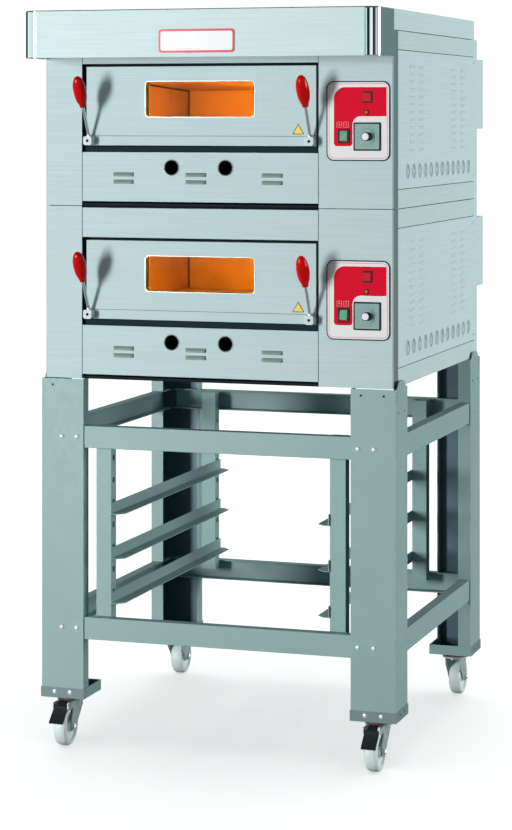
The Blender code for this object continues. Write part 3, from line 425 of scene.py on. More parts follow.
def joined(name, meshes):
    """One mesh from several, each given as a mesh or as (mesh, matrix). Slots aren't kept."""
    shape = bmesh.new()
    for entry in meshes:
        mesh, place = entry if isinstance(entry, tuple) else (entry, Matrix.Identity(4))
        part = mesh.copy()
        part.transform(place)
        shape.from_mesh(part)
        bpy.data.meshes.remove(part)
    return from_bmesh(name, shape)


def facing(point, direction):
    """Matrix that stands a turned piece on point, its Z along direction."""
    turn = Vector(direction).to_track_quat("Z", "Y").to_matrix().to_4x4()
    return Matrix.Translation(point) @ turn


def scattered(name, mesh, places, finish, body=BODY, smooth=35):
    """Copies of one small mesh at several places, as one piece."""
    return piece(name, joined(name, [(mesh, place) for place in places]), finish, body, smooth)


def turned(name, profile, place, finish, body=BODY, steps=32, smooth=35):
    """One turned piece, its axis standing at a place."""
    return scattered(name, lathe_mesh(name, profile, steps), [place], finish, body, smooth)


def slab(name, outlines, low, high, turn, finish, body=BODY, edge=0.0003):
    """A flat outline, with any holes after it, as a piece that is thick from low to high."""
    return piece(name, extruded_mesh(name, outlines, low, high, turn, edge), finish, body)


def front_slab(name, outlines, front, back, finish, body=BODY, edge=0.0003):
    """A slab seen from the front; its outlines are drawn in X and Z."""
    return slab(name, outlines, front, back, TO_FRONT, finish, body, edge)


BOLT_HEAD = lathe_mesh("bolt_head", [(0, 0.0034), (0.0030, 0.0031), (0.0052, 0.0021),
                                     (0.0064, 0.0006), (0.0064, 0.0)], 24)
SCREW_HEAD = lathe_mesh("screw_head", [(0, 0.0006), (0.0008, 0.0006), (0.0009, 0.0016),
                                       (0.0024, 0.0012), (0.0032, 0.0)], 20)
CAP_BOLT = lathe_mesh("cap_bolt", [(0, 0.0016), (0.0040, 0.0014), (0.0052, 0.0008),
                                   (0.0055, 0.0)], 24)
HOLE_DISC = lathe_mesh("hole_disc", [(0, 0.0004), (0.0026, 0.0004), (0.0030, 0.0)], 20)

# ---------------------------------------------------------------- oven casing

SIGHT_HOLES = [(MOUTH_CENTRE + shift, 0.102) for shift in (-0.074, 0.074)]
SIGHT_HOLE_RADIUS = 0.019
COVER_BOTTOM, COVER_TOP = 0.0125, 0.1415
SILL_TOP = 0.156
LOUVRE = (0.057, 0.0105, 0.0045)             # width, height, how far its lip stands out
SIDE_LOUVRE = (0.050, 0.0062, 0.0018)
LOUVRE_PLACES = [(MOUTH_CENTRE + shift, up) for shift in (-0.2075, -0.007, 0.201)
                 for up in (0.0645, 0.0835)]
LOUVRE_SHEET = 0.0008
COLUMN_BEND = 0.0030             # radius of the fold at the oven's front corners
CONTROL_HOLE = ((0.327, 0.150), (0.441, 0.218))
CARCASS_INSET = 0.0085           # room for the side dishes


def cut_box(made, low, high):
    """Cuts a box out of a piece for good."""
    cutter = placed("cutter", box_mesh("cutter", low, high))
    change = made.modifiers.new("cut", "BOOLEAN")
    change.operation = "DIFFERENCE"
    change.solver = "EXACT"
    change.object = cutter
    bpy.context.view_layer.update()
    evaluated = made.evaluated_get(bpy.context.evaluated_depsgraph_get())
    mesh = bpy.data.meshes.new_from_object(evaluated)
    made.modifiers.clear()
    made.data = mesh
    bpy.data.objects.remove(cutter)
    weighted(made)


def build_columns(deck, floor):
    """Front columns, folded round the oven's corners."""
    low = floor + SEAM / 2
    high = floor + DECK_HEIGHT - SEAM / 2
    for side_name, side, inner in (("left", -1, MOUTH_LEFT), ("right", 1, MOUTH_RIGHT)):
        outer = LEFT if side < 0 else RIGHT
        line = [(inner + side * SEAM / 2, FRONT), (outer, FRONT), (outer, PANEL_START)]
        if side < 0:
            line.reverse()
        made = slab(f"{deck}_column_{side_name}", [folded_outline(line, SHEET, COLUMN_BEND)], low,
                    high, FLAT, [CASING, RETURN, FOLD_PAINTED_REFLECTION], edge=0.0002)
        # the corner bend's faces take the painted reflection colour, and the flat side returns take the
        # glossy return steel
        for face in made.data.polygons:
            if abs(face.center.x) > RIGHT - COLUMN_BEND + 0.0001:
                face.material_index = 1 if abs(face.normal.x) > 0.99 else 2
        if side > 0:
            (left, bottom), (right, top) = CONTROL_HOLE
            cut_box(made, (left, FRONT - 0.01, floor + bottom), (right, FRONT + 0.01, floor + top))


def louvre_slot(place, size, cover):
    """The slot behind a louvre, which the pressing's top and its two ends hide."""
    width, height, _ = size
    half = width / 2 - 0.004
    return rectangle(place[0] - half, place[1] - height / 2, place[0] + half,
                     place[1] + height / 2 - cover)


def build_front(deck, floor):
    """Band over the door, burner cover with its sight holes and louvres, and the sill."""
    left = MOUTH_LEFT + SEAM / 2
    right = MOUTH_RIGHT - SEAM / 2
    band = rectangle(left, floor + MOUTH_TOP, right, floor + DECK_HEIGHT - 0.0045)
    front_slab(f"{deck}_front_band", [band], FRONT, FRONT + SHEET, CASING, edge=0.0005)

    louvres = [(x, floor + up) for x, up in LOUVRE_PLACES]
    outlines = [rectangle(left, floor + COVER_BOTTOM, right, floor + COVER_TOP)]
    outlines += [circle((x, floor + up), SIGHT_HOLE_RADIUS, 40) for x, up in SIGHT_HOLES]
    outlines += [louvre_slot(place, LOUVRE, 0.003) for place in louvres]
    cover = front_slab(f"{deck}_cover_plate", outlines, FRONT, FRONT + SHEET, CASING, edge=0.0004)
    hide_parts(f"{deck}_burner_cover")
    places = [Matrix.Translation((x, FRONT, z)) for x, z in louvres]
    # the louvres' dark colour is painted shade
    thicken(scattered(f"{deck}_louvres", louvre_mesh(LOUVRE), places, LOUVRE_PAINTED_SHADE), LOUVRE_SHEET)
    rims = [facing((x, FRONT, floor + up), (0, -1, 0)) for x, up in SIGHT_HOLES]
    scattered(f"{deck}_sight_rims", RIM_MESH, rims, TRIM)
    # the black sight tubes are painted shade
    scattered(f"{deck}_sight_tubes", TUBE_MESH, rims, JOINT_AND_SHADE_BLACK)
    line = [(FRONT + 0.012, floor + SILL_TOP), (FRONT + 0.012, floor + COVER_TOP),
            (FRONT + 0.002, floor + COVER_TOP)]
    slab(f"{deck}_sill", [folded_outline(line, SHEET, 0.002)], left, right, TO_SIDE, SILL_DARK)


def louvre_mesh(size, columns=16, rows=6):
    """One lanced louvre about the origin, its lip at the bottom and its ends run out."""
    width, height, depth = size
    shape = bmesh.new()
    grid = []
    for row in range(rows + 1):
        down = row / rows
        line = []
        for column in range(columns + 1):
            across = 2 * column / columns - 1
            end = min(1.0, (1 - abs(across)) / 0.22)
            out = depth * math.sin(math.radians(90) * end) * math.sin(math.radians(80) * down)
            line.append(shape.verts.new((across * width / 2, -out, height / 2 - down * height)))
        grid.append(line)
    for upper, lower in zip(grid, grid[1:]):
        for column in range(columns):
            shape.faces.new((upper[column], lower[column], lower[column + 1], upper[column + 1]))
    return from_bmesh("louvre", shape)


def thicken(made, sheet):
    """Gives an open surface a sheet's thickness."""
    solid = made.modifiers.new("sheet", "SOLIDIFY")
    solid.thickness = sheet
    solid.offset = -1.0
    return made


RIM_MESH = lathe_mesh("sight_rim", [(0.0187, -0.004), (0.0187, 0.0006), (0.0193, 0.0013),
                                    (0.0203, 0.0016), (0.0212, 0.0012), (0.0216, 0.0)], 48)
TUBE_MESH = lathe_mesh("sight_tube", [(0.0190, -0.003), (0.0190, -0.040)], 32)


def build_carcass(deck, floor):
    """Dark inner box behind the seams, with the lining of the mouth round the door, black as painted
    shade.
    """
    inset = 0.0032
    low = Vector((LEFT + CARCASS_INSET, FRONT + inset, floor + 0.002))
    high = Vector((RIGHT - CARCASS_INSET, BACK - inset, floor + DECK_HEIGHT - 0.0015))
    shape = bmesh.new()
    shape.from_mesh(box_mesh("carcass", low, high))
    shape.normal_update()
    front = [face for face in shape.faces if face.normal.y < -0.9]
    bmesh.ops.delete(shape, geom=front, context="FACES_ONLY")
    carcass = piece(f"{deck}_carcass", from_bmesh("carcass", shape), CARCASS)
    thicken(carcass, 0.001)
    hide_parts(f"{deck}_casing")
    mouth = rectangle(MOUTH_LEFT, floor + 0.008, MOUTH_RIGHT, floor + MOUTH_TOP)
    (left, bottom), (right, top) = CONTROL_HOLE
    control = rectangle(left, floor + bottom, right, floor + top)
    wall = extruded_mesh("wall", [rectangle(low.x, floor + 0.0003, high.x, high.z), mouth, control],
                         low.y, low.y + 0.001, TO_FRONT)
    around = rectangle(MOUTH_LEFT - 0.001, floor + 0.007, MOUTH_RIGHT + 0.001,
                       floor + MOUTH_TOP + 0.001)
    lining = extruded_mesh("lining", [around, mouth], low.y, FRONT + 0.031, TO_FRONT, 0.0001)
    # the mouth's lining is painted shade
    piece(f"{deck}_mouth_lining", joined("lining", [wall, lining]), JOINT_AND_SHADE_BLACK)


# side vents: a row of round dishes, and four columns of louvres above it
DISH_YS = [-0.296 + 0.0615 * count for count in range(12)]
DISH_UP = 0.093
DISH_RADIUS = 0.0195
DISH_DEPTH = 0.0040
VENT_YS = (-0.250, -0.149, 0.208, 0.312)
VENT_UPS = [0.148 + 0.01965 * count for count in range(12)]


def dish_mesh(rings=6, steps=36):
    """A pressed round dish about Z, sinking from its rim."""
    profile = []
    for ring in range(rings + 1):
        angle = math.radians(90) * ring / rings
        profile.append((DISH_RADIUS * (1 - 0.55 * (1 - math.cos(angle))),
                        -DISH_DEPTH * math.sin(angle)))
    return lathe_mesh("dish", profile + [(0, -DISH_DEPTH * 1.05)], steps)


DISH_MESH = dish_mesh()
RIVET_MESH = lathe_mesh("rivet", [(0, 0.0014), (0.0018, 0.0010), (0.0026, 0.0)], 16)


def build_side(deck, floor, side_name, side):
    """Side sheets of a deck: a vented main panel between two plain bands."""
    outer = side * RIGHT
    low, high = sorted((outer, outer - side * SHEET))
    start = PANEL_START + SEAM
    lower_seam, upper_seam = (floor + up for up in SIDE_SEAMS)
    dishes = [(y, floor + DISH_UP) for y in DISH_YS]
    vents = [(y, floor + up) for y in VENT_YS for up in VENT_UPS]
    corners = [(PANEL_BACK - 0.010, floor + up) for up in (0.066, 0.388)]

    def on_side(spots, depth=0.0, shift=0.0):
        return [facing((outer - side * depth, y + shift, z), (side, 0, 0)) for y, z in spots]

    outlines = [rectangle(start, lower_seam + SEAM / 2, PANEL_BACK, upper_seam - SEAM / 2)]
    outlines += [circle(place, DISH_RADIUS, 36) for place in dishes]
    outlines += [louvre_slot(place, SIDE_LOUVRE, 0.002) for place in vents]
    slab(f"{deck}_side_panel_{side_name}", outlines, low, high, TO_SIDE, SIDE_SHEET, edge=0.0002)
    # the dishes' darker colour is painted shade
    scattered(f"{deck}_side_dishes_{side_name}", DISH_MESH, on_side(dishes), DISH_PAINTED_SHADE)
    scattered(f"{deck}_side_rivets_{side_name}", RIVET_MESH, on_side(dishes, DISH_DEPTH, 0.003), BOLT)
    scattered(f"{deck}_side_screws_{side_name}", SCREW_HEAD, on_side(corners), ZINC)
    turn = Matrix.Rotation(side * math.radians(90), 4, "Z")
    places = [Matrix.Translation((outer, *place)) @ turn for place in vents]
    louvres = scattered(f"{deck}_side_louvres_{side_name}", louvre_mesh(SIDE_LOUVRE, 10, 3), places,
                        SIDE_SHEET)
    thicken(louvres, LOUVRE_SHEET)
    for name, bottom, top in (("lower", floor + SEAM, lower_seam - SEAM / 2),
                              ("upper", upper_seam + SEAM / 2, floor + DECK_HEIGHT - SEAM)):
        slab(f"{deck}_side_band_{name}_{side_name}", [rectangle(start, bottom, PANEL_BACK, top)],
             low, high, TO_SIDE, SIDE_BAND)


def build_back(deck, floor):
    """Back sheet with folded sides, its screws, and the cover of the entry box."""
    side = RIGHT - 0.0005
    line = [(side, PANEL_BACK - 0.006), (side, BACK), (-side, BACK), (-side, PANEL_BACK - 0.006)]
    slab(f"{deck}_back_sheet", [folded_outline(line, SHEET, 0.003)], floor + SEAM / 2,
         floor + DECK_HEIGHT - SEAM / 2, FLAT, SIDE_SHEET, edge=0.0002)
    refined(f"{deck}_rear_box", SIDE_SHEET, 0.0015)
    low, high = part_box(f"{deck}_rear_box")
    inset = 0.012
    for name, y, xs, zs in (
            ("back", BACK, (-0.44, -0.22, 0, 0.22, 0.44), (floor + 0.020, floor + 0.435)),
            ("box", high.y, (low.x + inset, high.x - inset), (low.z + inset, high.z - inset))):
        places = [facing((x, y, z), (0, 1, 0)) for x in xs for z in zs]
        scattered(f"{deck}_{name}_screws", SCREW_HEAD, places, ZINC)
    floor_sheet = box_mesh("floor_sheet", (LEFT + 0.002, FRONT + 0.034, floor),
                           (RIGHT - 0.002, BACK - 0.004, floor + 0.0015))
    piece(f"{deck}_floor_sheet", floor_sheet, SIDE_SHEET)


# ---------------------------------------------------------------- door and levers

WINDOW = (0.299, 0.092, 0.010)               # width, height, corner radius
DOOR_CENTRE = (door_low.x + door_high.x) / 2
WINDOW_UP = 0.280
HINGE_STRIP_TOP = 0.1838
STRIP_INSET = 0.026
BLOCK_WIDTH, BLOCK_HEIGHT = 0.024, 0.0237
LEVER_LEAN = math.radians(28.2)
ROD_RADIUS = 0.004
ROD_LENGTH = 0.088
GRIP_LENGTH = 0.088
GRIP_RADIUS = 0.0170
SIGN_PLACE = (0.224, 0.1895)
SIGN_SIDE = 0.032


def window_outline(floor, margin=0.0):
    """The door's window, grown by margin."""
    width, height, radius = WINDOW
    return rounded((DOOR_CENTRE, floor + WINDOW_UP), width + 2 * margin, height + 2 * margin,
                   radius + margin, 8)


def build_door(deck, floor):
    """Door pan with its window, liner, seal and hinge strip, and the two levers."""
    body = f"{deck}_door_assembly"
    front, back = door_low.y, door_high.y
    left, right = door_low.x, door_high.x
    bottom, top = floor + DOOR_BOTTOM, floor + DOOR_TOP
    strip_top = floor + HINGE_STRIP_TOP
    window = window_outline(floor)

    def inset(by):
        return rectangle(left + by, bottom + by, right - by, top - by)

    face = extruded_mesh("face", [inset(0), window], front, front + SHEET, TO_FRONT, 0.0006)
    edge = extruded_mesh("edge", [inset(0), inset(SHEET)], front + 0.0009, back, TO_FRONT, 0.0002)
    door = piece(f"{deck}_door_pan", joined("door", [face, edge]), CASING, body)
    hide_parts(f"{deck}_door")
    # the window's reveal is black as painted shade
    front_slab(f"{deck}_window_tunnel", [window_outline(floor, 0.005), window], front + SHEET,
               back - 0.002, JOINT_AND_SHADE_BLACK, body, 0.0002)
    front_slab(f"{deck}_window_trim", [window_outline(floor, 0.0013), window], front - 0.0007,
               front + 0.0004, TRIM, body)
    front_slab(f"{deck}_door_liner", [inset(0.004), window], back - 0.002, back - 0.0005, CASING, body)
    front_slab(f"{deck}_door_seal", [inset(0.012), inset(0.024)], back - 0.0008, back + 0.0038, PEDAL,
               body, 0.0008)
    places = [facing((x, back - 0.0006, z), (0, 1, 0)) for x, z in inset(0.034)]
    scattered(f"{deck}_liner_screws", SCREW_HEAD, places, ZINC, body)
    strip = rectangle(left + STRIP_INSET, bottom + 0.0006, right - STRIP_INSET, strip_top)
    front_slab(f"{deck}_hinge_strip", [strip], front - 0.0009, front + 0.0003, CASING, body, 0.0005)
    seam = rectangle(left + STRIP_INSET, strip_top, right - STRIP_INSET, strip_top + 0.0009)
    front_slab(f"{deck}_hinge_strip_seam", [seam], front - 0.0003, front + 0.0003, JOINT_AND_SHADE_BLACK, body)
    build_sign(deck, floor, front, body)

    pane = nodes[f"{deck}_door_glass"]
    pane.data.materials.clear()
    pane.data.materials.append(GLASS.material)
    for side_name, centre in (("left", left + 0.012), ("right", right - 0.012)):
        build_lever(f"{deck}_lever_{side_name}", centre, body)


def build_sign(deck, floor, front, body):
    """Yellow triangle with a dark edge, and no pictogram."""
    x, up = SIGN_PLACE
    rise = SIGN_SIDE * math.sin(math.radians(60))
    centre = floor + up + rise / 3
    for name, size, finish, proud in (("edge", 1.0, BEZEL, 0.0002),
                                      ("face", 0.82, SIGN_YELLOW, 0.0004)):
        half = SIGN_SIDE * size / 2
        foot = centre - rise * size / 3
        points = [(x - half, foot), (x + half, foot), (x, centre + rise * size * 2 / 3)]
        front_slab(f"{deck}_sign_{name}", [points], front - proud, front + 0.0002, finish, body,
                   0.00005)


def grip_profile(steps=30):
    """Egg-shaped grip from its round top to its neck, as (radius, height)."""
    points = [(0, GRIP_LENGTH)]
    for step in range(1, steps):
        share = (step / steps) ** 1.6
        swell = (1 - abs(2 * share ** 0.92 - 1) ** 2.1) ** 0.5
        neck = 0.60 * share ** 3
        points.append((GRIP_RADIUS * max(swell, neck), GRIP_LENGTH * (1 - share)))
    return points + [(GRIP_RADIUS * 0.50, 0.0), (0, 0.0)]


def build_lever(node, x, body):
    """Steel block, leaning rod with its collar, and egg grip."""
    low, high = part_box(node)
    block_top = low.z + BLOCK_HEIGHT
    block_front = high.y - 0.0247
    middle = (low.z + block_top) / 2
    outlines = [rounded((x, middle), BLOCK_WIDTH, BLOCK_HEIGHT, 0.006, 6),
                circle((x, middle), 0.0036, 20)]
    block = front_slab(f"{node}_block", outlines, block_front, high.y, BLOCK, body, 0.0012)
    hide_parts(node)
    # the socket is a black disc of painted shade
    turned(f"{node}_socket", [(0, 0.0), (0.0034, 0.0)],
           facing((x, block_front + 0.004, middle), (0, -1, 0)), JOINT_AND_SHADE_BLACK, body, 20)
    lean = Vector((0, -math.sin(LEVER_LEAN), math.cos(LEVER_LEAN)))
    root = Vector((x, (block_front + high.y) / 2, block_top))
    end = ROD_LENGTH + 0.010
    turned(f"{node}_rod", [(0, end), (ROD_RADIUS, end), (ROD_RADIUS, -0.008), (0, -0.008)],
           facing(root, lean), ROD, body, 24)
    turned(f"{node}_collar", [(0, 0.004), (0.0058, 0.0036), (0.0062, 0.0), (0.0062, -0.002)],
           facing(root + Vector((0, 0, 0.0004)), (0, 0, 1)), ROD, body, 24)
    turned(f"{node}_grip", grip_profile(), facing(root + lean * ROD_LENGTH, lean), GRIP, body, 40, 60)


# ---------------------------------------------------------------- control panels

PANEL_CENTRE = Vector((0.383, 0.2235))
PANEL_SIZE = (0.168, 0.203)
PANEL_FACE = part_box("lower_control_panel")[0].y + 0.0025      # front face of the plate
THERMOSTAT = Vector((0.407, 0.184))
BEZEL_SIZE = 0.072
BEZEL_FACE = PANEL_FACE - 0.0025              # front of the thermostat's and the switch's frames
ICON_SQUARES = ((0.0140, 0.001), (0.0118, 0.0006))            # side and corner radius
SWITCH = Vector((0.345, 0.185))


def arc(centre, radius, start, end, steps=10):
    return [(centre[0] + radius * math.cos(math.radians(start + (end - start) * step / steps)),
             centre[1] + radius * math.sin(math.radians(start + (end - start) * step / steps)))
            for step in range(steps + 1)]


def red_field():
    """Plain L-shaped colour field on the control panel, about the panel's centre."""
    left, inside, right = -0.0640, -0.0150, 0.0745
    bottom, inner_top, top = -0.0640, 0.0120, 0.0860
    return (arc((left + 0.030, top - 0.030), 0.030, 180, 90)
            + [(right, top), (right, inner_top)]
            + arc((inside + 0.022, inner_top - 0.022), 0.022, 90, 180)
            + arc((inside - 0.008, bottom + 0.008), 0.008, 0, -90, 5)
            + arc((left + 0.008, bottom + 0.008), 0.008, -90, -180, 5))


def print_on(name, outlines, face, proud, finish):
    """A printed or stuck-on layer, standing proud of the face by a hair."""
    return front_slab(name, outlines, face - proud, face + 0.0001, finish, edge=0.00004)


def build_panel(deck, floor):
    """Control panel: gasket, white plate with its prints, display, lamp, dial and switch."""
    raised = Vector((0, floor))
    centre = PANEL_CENTRE + raised
    width, height = PANEL_SIZE
    radius = 0.019
    front_slab(f"{deck}_panel_gasket", [rounded(centre, width, height, radius, 8)],
               PANEL_FACE + 0.0006, FRONT - 0.0002, BEZEL)
    plate = front_slab(f"{deck}_panel_plate",
                       [rounded(centre, width - 0.006, height - 0.006, 0.0165, 8)],
                       PANEL_FACE, PANEL_FACE + 0.001, PLATE)
    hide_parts(f"{deck}_control_panel")
    border = [rounded(centre, width - inset, height - inset, radius - inset / 2, 8)
              for inset in (0.0130, 0.0160)]
    print_on(f"{deck}_panel_border", border, PANEL_FACE, 0.00012, PRINT_PINK)
    field = [(x + centre.x, z + centre.y) for x, z in red_field()]
    print_on(f"{deck}_panel_field", [field], PANEL_FACE, 0.00010, PRINT_RED)
    for name, shift in (("left", -0.0498), ("right", -0.0316)):
        place = centre + Vector((shift, -0.0093))
        square = [rounded(place, size, size, corner, 2) for size, corner in ICON_SQUARES]
        print_on(f"{deck}_icon_{name}", square, PANEL_FACE, 0.0002, PRINT_PINK)
        dot = circle(place, 0.0022, 16)
        bar = rounded(place, 0.0016, 0.0064, 0.0005, 2)
        print_on(f"{deck}_icon_mark_{name}", [dot if name == "left" else bar], PANEL_FACE, 0.0002,
                 PRINT_PINK)

    display = centre + Vector((0.0248, 0.0605))
    front_slab(f"{deck}_display_frame", [rounded(display, 0.0262, 0.0300, 0.0008, 2)],
               PANEL_FACE - 0.0012, PANEL_FACE, BEZEL)
    front_slab(f"{deck}_display_lens",
               [rounded(display - Vector((0.0022, 0)), 0.0212, 0.0206, 0.0006, 2)],
               PANEL_FACE - 0.0017, PANEL_FACE - 0.0009, LENS_RED, edge=0.0002)
    lamp = facing((centre.x + 0.0224, PANEL_FACE, centre.y + 0.0225), (0, -1, 0))
    turned(f"{deck}_lamp_ring", [(0.0042, 0.0004), (0.0044, 0.0020), (0.0062, 0.0017), (0.0068, 0.0)],
           lamp, BEZEL, steps=28)
    turned(f"{deck}_lamp_dome", [(0, 0.0036), (0.0022, 0.0031), (0.0037, 0.0019), (0.0043, 0.0)],
           lamp, LAMP, steps=24)
    build_thermostat(deck, THERMOSTAT + raised)
    build_switch(deck, SWITCH + raised)


def build_thermostat(deck, centre):
    """Square frame and dial with its ticks, the body behind, and the turning knob."""
    front_slab(f"{deck}_thermostat_frame", [rounded(centre, BEZEL_SIZE, BEZEL_SIZE, 0.0025, 4)],
               BEZEL_FACE, PANEL_FACE, BEZEL, edge=0.0008)
    face = BEZEL_FACE - 0.0004
    front_slab(f"{deck}_thermostat_face", [rounded(centre, 0.0640, 0.0640, 0.0012, 3)], face,
               BEZEL_FACE + 0.0002, DIAL, edge=0.0002)
    print_on(f"{deck}_dial_ring", [circle(centre, 0.0262, 64), circle(centre, 0.0254, 64)], face,
             0.00015, BEZEL_LINE)
    ticks = []
    for step in range(11):
        angle = math.radians(225 - 27 * step)
        along = Vector((math.cos(angle), math.sin(angle)))
        side = Vector((-along.y, along.x)) * 0.0005
        near, far = (centre + along * reach for reach in (0.0228, 0.0249))
        ticks.append([tuple(near - side), tuple(far - side), tuple(far + side), tuple(near + side)])
    print_on(f"{deck}_dial_ticks", ticks, face, 0.00012, DIAL_MARK)
    front_slab(f"{deck}_thermostat_body", [rounded(centre, 0.058, 0.058, 0.003, 4)], FRONT + 0.0002,
               FRONT + 0.045, BEZEL, edge=0.001)

    body = f"{deck}_knob"
    node = f"{deck}_thermostat_knob"
    place = facing((centre.x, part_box(node)[1].y - 0.0007, centre.y), (0, -1, 0))
    turned(f"{deck}_knob_disc", [(0, 0.0012), (0.0198, 0.0012), (0.0205, 0.0007), (0.0205, 0.0)],
           place, DIAL, body, 48)
    knob = scattered(f"{deck}_knob_grip", fluted_mesh(0.0112, 0.0010, 0.0012, 0.0156), [place], KNOB,
                     body)
    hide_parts(node)
    turned(f"{deck}_knob_cap", [(0, 0.0162), (0.0018, 0.0162), (0.0021, 0.0159), (0.0024, 0.0162),
                                (0.0084, 0.0162), (0.0090, 0.0156)], place, KNOB_CAP, body, 40)
    pointer = box_mesh("pointer", (-0.0006, 0.0125, 0.0010), (0.0006, 0.0188, 0.0015))
    scattered(f"{deck}_knob_pointer", pointer, [place @ Matrix.Rotation(math.radians(45), 4, "Z")],
              PRINT_PINK, body)


def fluted_mesh(radius, flute, low, high, flutes=18):
    """A knob body with shallow flutes and a rounded front edge, about Z."""
    shape = bmesh.new()
    steps = flutes * 6
    loops = []
    for height, inset in ((low, 0.0), (high - 0.0012, 0.0003), (high - 0.0003, 0.0010), (high, 0.0020)):
        loop = []
        for step in range(steps):
            angle = math.tau * step / steps
            ripple = flute * 0.5 * (1 - math.cos(angle * flutes)) * 0.5
            reach = radius - inset - ripple
            loop.append(shape.verts.new((reach * math.cos(angle), reach * math.sin(angle), height)))
        loops.append(loop)
    for lower, upper in zip(loops, loops[1:]):
        for step in range(steps):
            ahead = (step + 1) % steps
            shape.faces.new((lower[step], lower[ahead], upper[ahead], upper[step]))
    shape.faces.new(loops[-1])
    shape.faces.new(loops[0][::-1])
    return from_bmesh("fluted", shape)


def build_switch(deck, centre):
    """Rocker switch's frame, the sleeve behind it, and the rocker."""
    mouth = rounded(centre, 0.0222, 0.0296, 0.001, 2)
    front_slab(f"{deck}_switch_frame", [rounded(centre, 0.030, 0.037, 0.002, 3), mouth], BEZEL_FACE,
               PANEL_FACE, BEZEL, edge=0.0006)
    front_slab(f"{deck}_switch_body", [rounded(centre, 0.026, 0.033, 0.001, 2), mouth], PANEL_FACE,
               FRONT + 0.026, BEZEL, edge=0.0002)
    rocker = refined(f"{deck}_rocker_switch", ROCKER, 0.0006)
    rocker.modifiers["soften"].segments = 3


# ---------------------------------------------------------------- hood and top

HOOD_CORNER_SIZE = (0.036, 0.024)            # along X and along Y
HOOD_SHEET = 0.0012
BADGE_CENTRE = (0.0, 1.852)
BADGE_SIZE = (0.204, 0.060)


def hood_plan(low, high, steps=18):
    """Points of the hood's front and sides seen from above, each with its outward normal."""
    across, deep = HOOD_CORNER_SIZE
    right = []
    for step in range(steps + 1):
        angle = math.radians(90) * step / steps
        point = Vector((high.x - across + across * math.sin(angle),
                        low.y + deep - deep * math.cos(angle)))
        normal = Vector((deep * math.sin(angle), -across * math.cos(angle))).normalized()
        right.append((point, normal))
    right.append((Vector((high.x, high.y)), Vector((1, 0))))
    left = [(Vector((-point.x, point.y)), Vector((-normal.x, normal.y)))
            for point, normal in reversed(right)]
    return left + right


def build_hood():
    """Canopy shell with polished front corners and a polished bend along its top."""
    low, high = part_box("hood")
    plan = hood_plan(low, high)
    bend = high.z - 0.0022
    profile = [(0.012, low.z + 0.0012), (0.0012, low.z), (0.0003, low.z + 0.0004),
               (0.0, low.z + 0.0014), (0.0, low.z + 0.0040), (0.0, high.z - 0.0050), (0.0, bend),
               (0.0006, high.z - 0.0007), (0.0022, high.z)]          # inset, height
    shape = bmesh.new()
    loops = [[shape.verts.new((*(point - normal * inset), height)) for point, normal in plan]
             for inset, height in profile]
    for lower, upper in zip(loops, loops[1:]):
        for step in range(len(plan) - 1):
            shape.faces.new((lower[step], lower[step + 1], upper[step + 1], upper[step]))
    shape.faces.new(loops[-1])
    hood = piece("hood_shell", from_bmesh("hood", shape), [HOOD_FRONT, HOOD_CORNER])
    for face in hood.data.polygons:
        on_corner = abs(face.center.x) > high.x - HOOD_CORNER_SIZE[0]
        if (on_corner or face.center.z > bend) and abs(face.normal.z) < 0.9:
            face.material_index = 1
    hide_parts("hood")
    thicken(hood, HOOD_SHEET)
    build_badge(low.y)


def build_badge(face):
    """Blank badge on the hood's front."""
    width, height = BADGE_SIZE
    for name, inset, finish, proud in (("plate", 0.0, BADGE_RED, 0.0012),
                                       ("face", 0.0055, BADGE_WHITE, 0.0015)):
        outline = rounded(BADGE_CENTRE, width - 2 * inset, height - 2 * inset, 0.008 - inset / 2, 6)
        front_slab(f"badge_{name}", [outline], face - proud, face + 0.0002, finish)


def build_top():
    """Top cover and its sunk screws."""
    refined("top_cover", SIDE_SHEET, 0.0012)
    places = [facing((x, y, TOP), (0, 0, 1)) @ Matrix.Translation((0, 0, -0.0014))
              for x in (-0.45, -0.15, 0.15, 0.45) for y in (-0.40, 0.42)]
    scattered("top_screws", SCREW_HEAD, places, ZINC)


# ---------------------------------------------------------------- stand, rack and casters

LEG_FACE = 0.118
RAIL_CENTRES = (0.315, 0.818)
BOLT_STEPS = (0.019, 0.061)                  # these steps are from the leg's inner edge
HOLE_STEPS = (0.027, 0.087)
CAP_BOLT_STEPS = (0.038, 0.081)
CAP_BOLT_UP = 0.144
CAP_SHEET = 0.002                            # how far a foot cap stands out from its leg


def finish_leg(leg, outer_x, face_y, side, end):
    """Paints shade onto a leg's inner faces as a darker, bluer colour, and gives its foot cap its own
    finish.
    """
    for extra in (PAINTED_SHADE_DARK, FOOT_CAP):
        leg.data.materials.append(extra.material)
    for face in leg.data.polygons:
        centre, normal = face.center, face.normal
        across = abs(centre.x) > outer_x - 0.006 and normal.x * side < -0.9
        along = abs(centre.y - face_y) < 0.006 and normal.y * end < -0.9
        # inner faces get the painted shade colour
        if across or along:
            face.material_index = 1
        elif max(abs(centre.x) - outer_x, (centre.y - face_y) * end) > 0.0005:
            face.material_index = 2


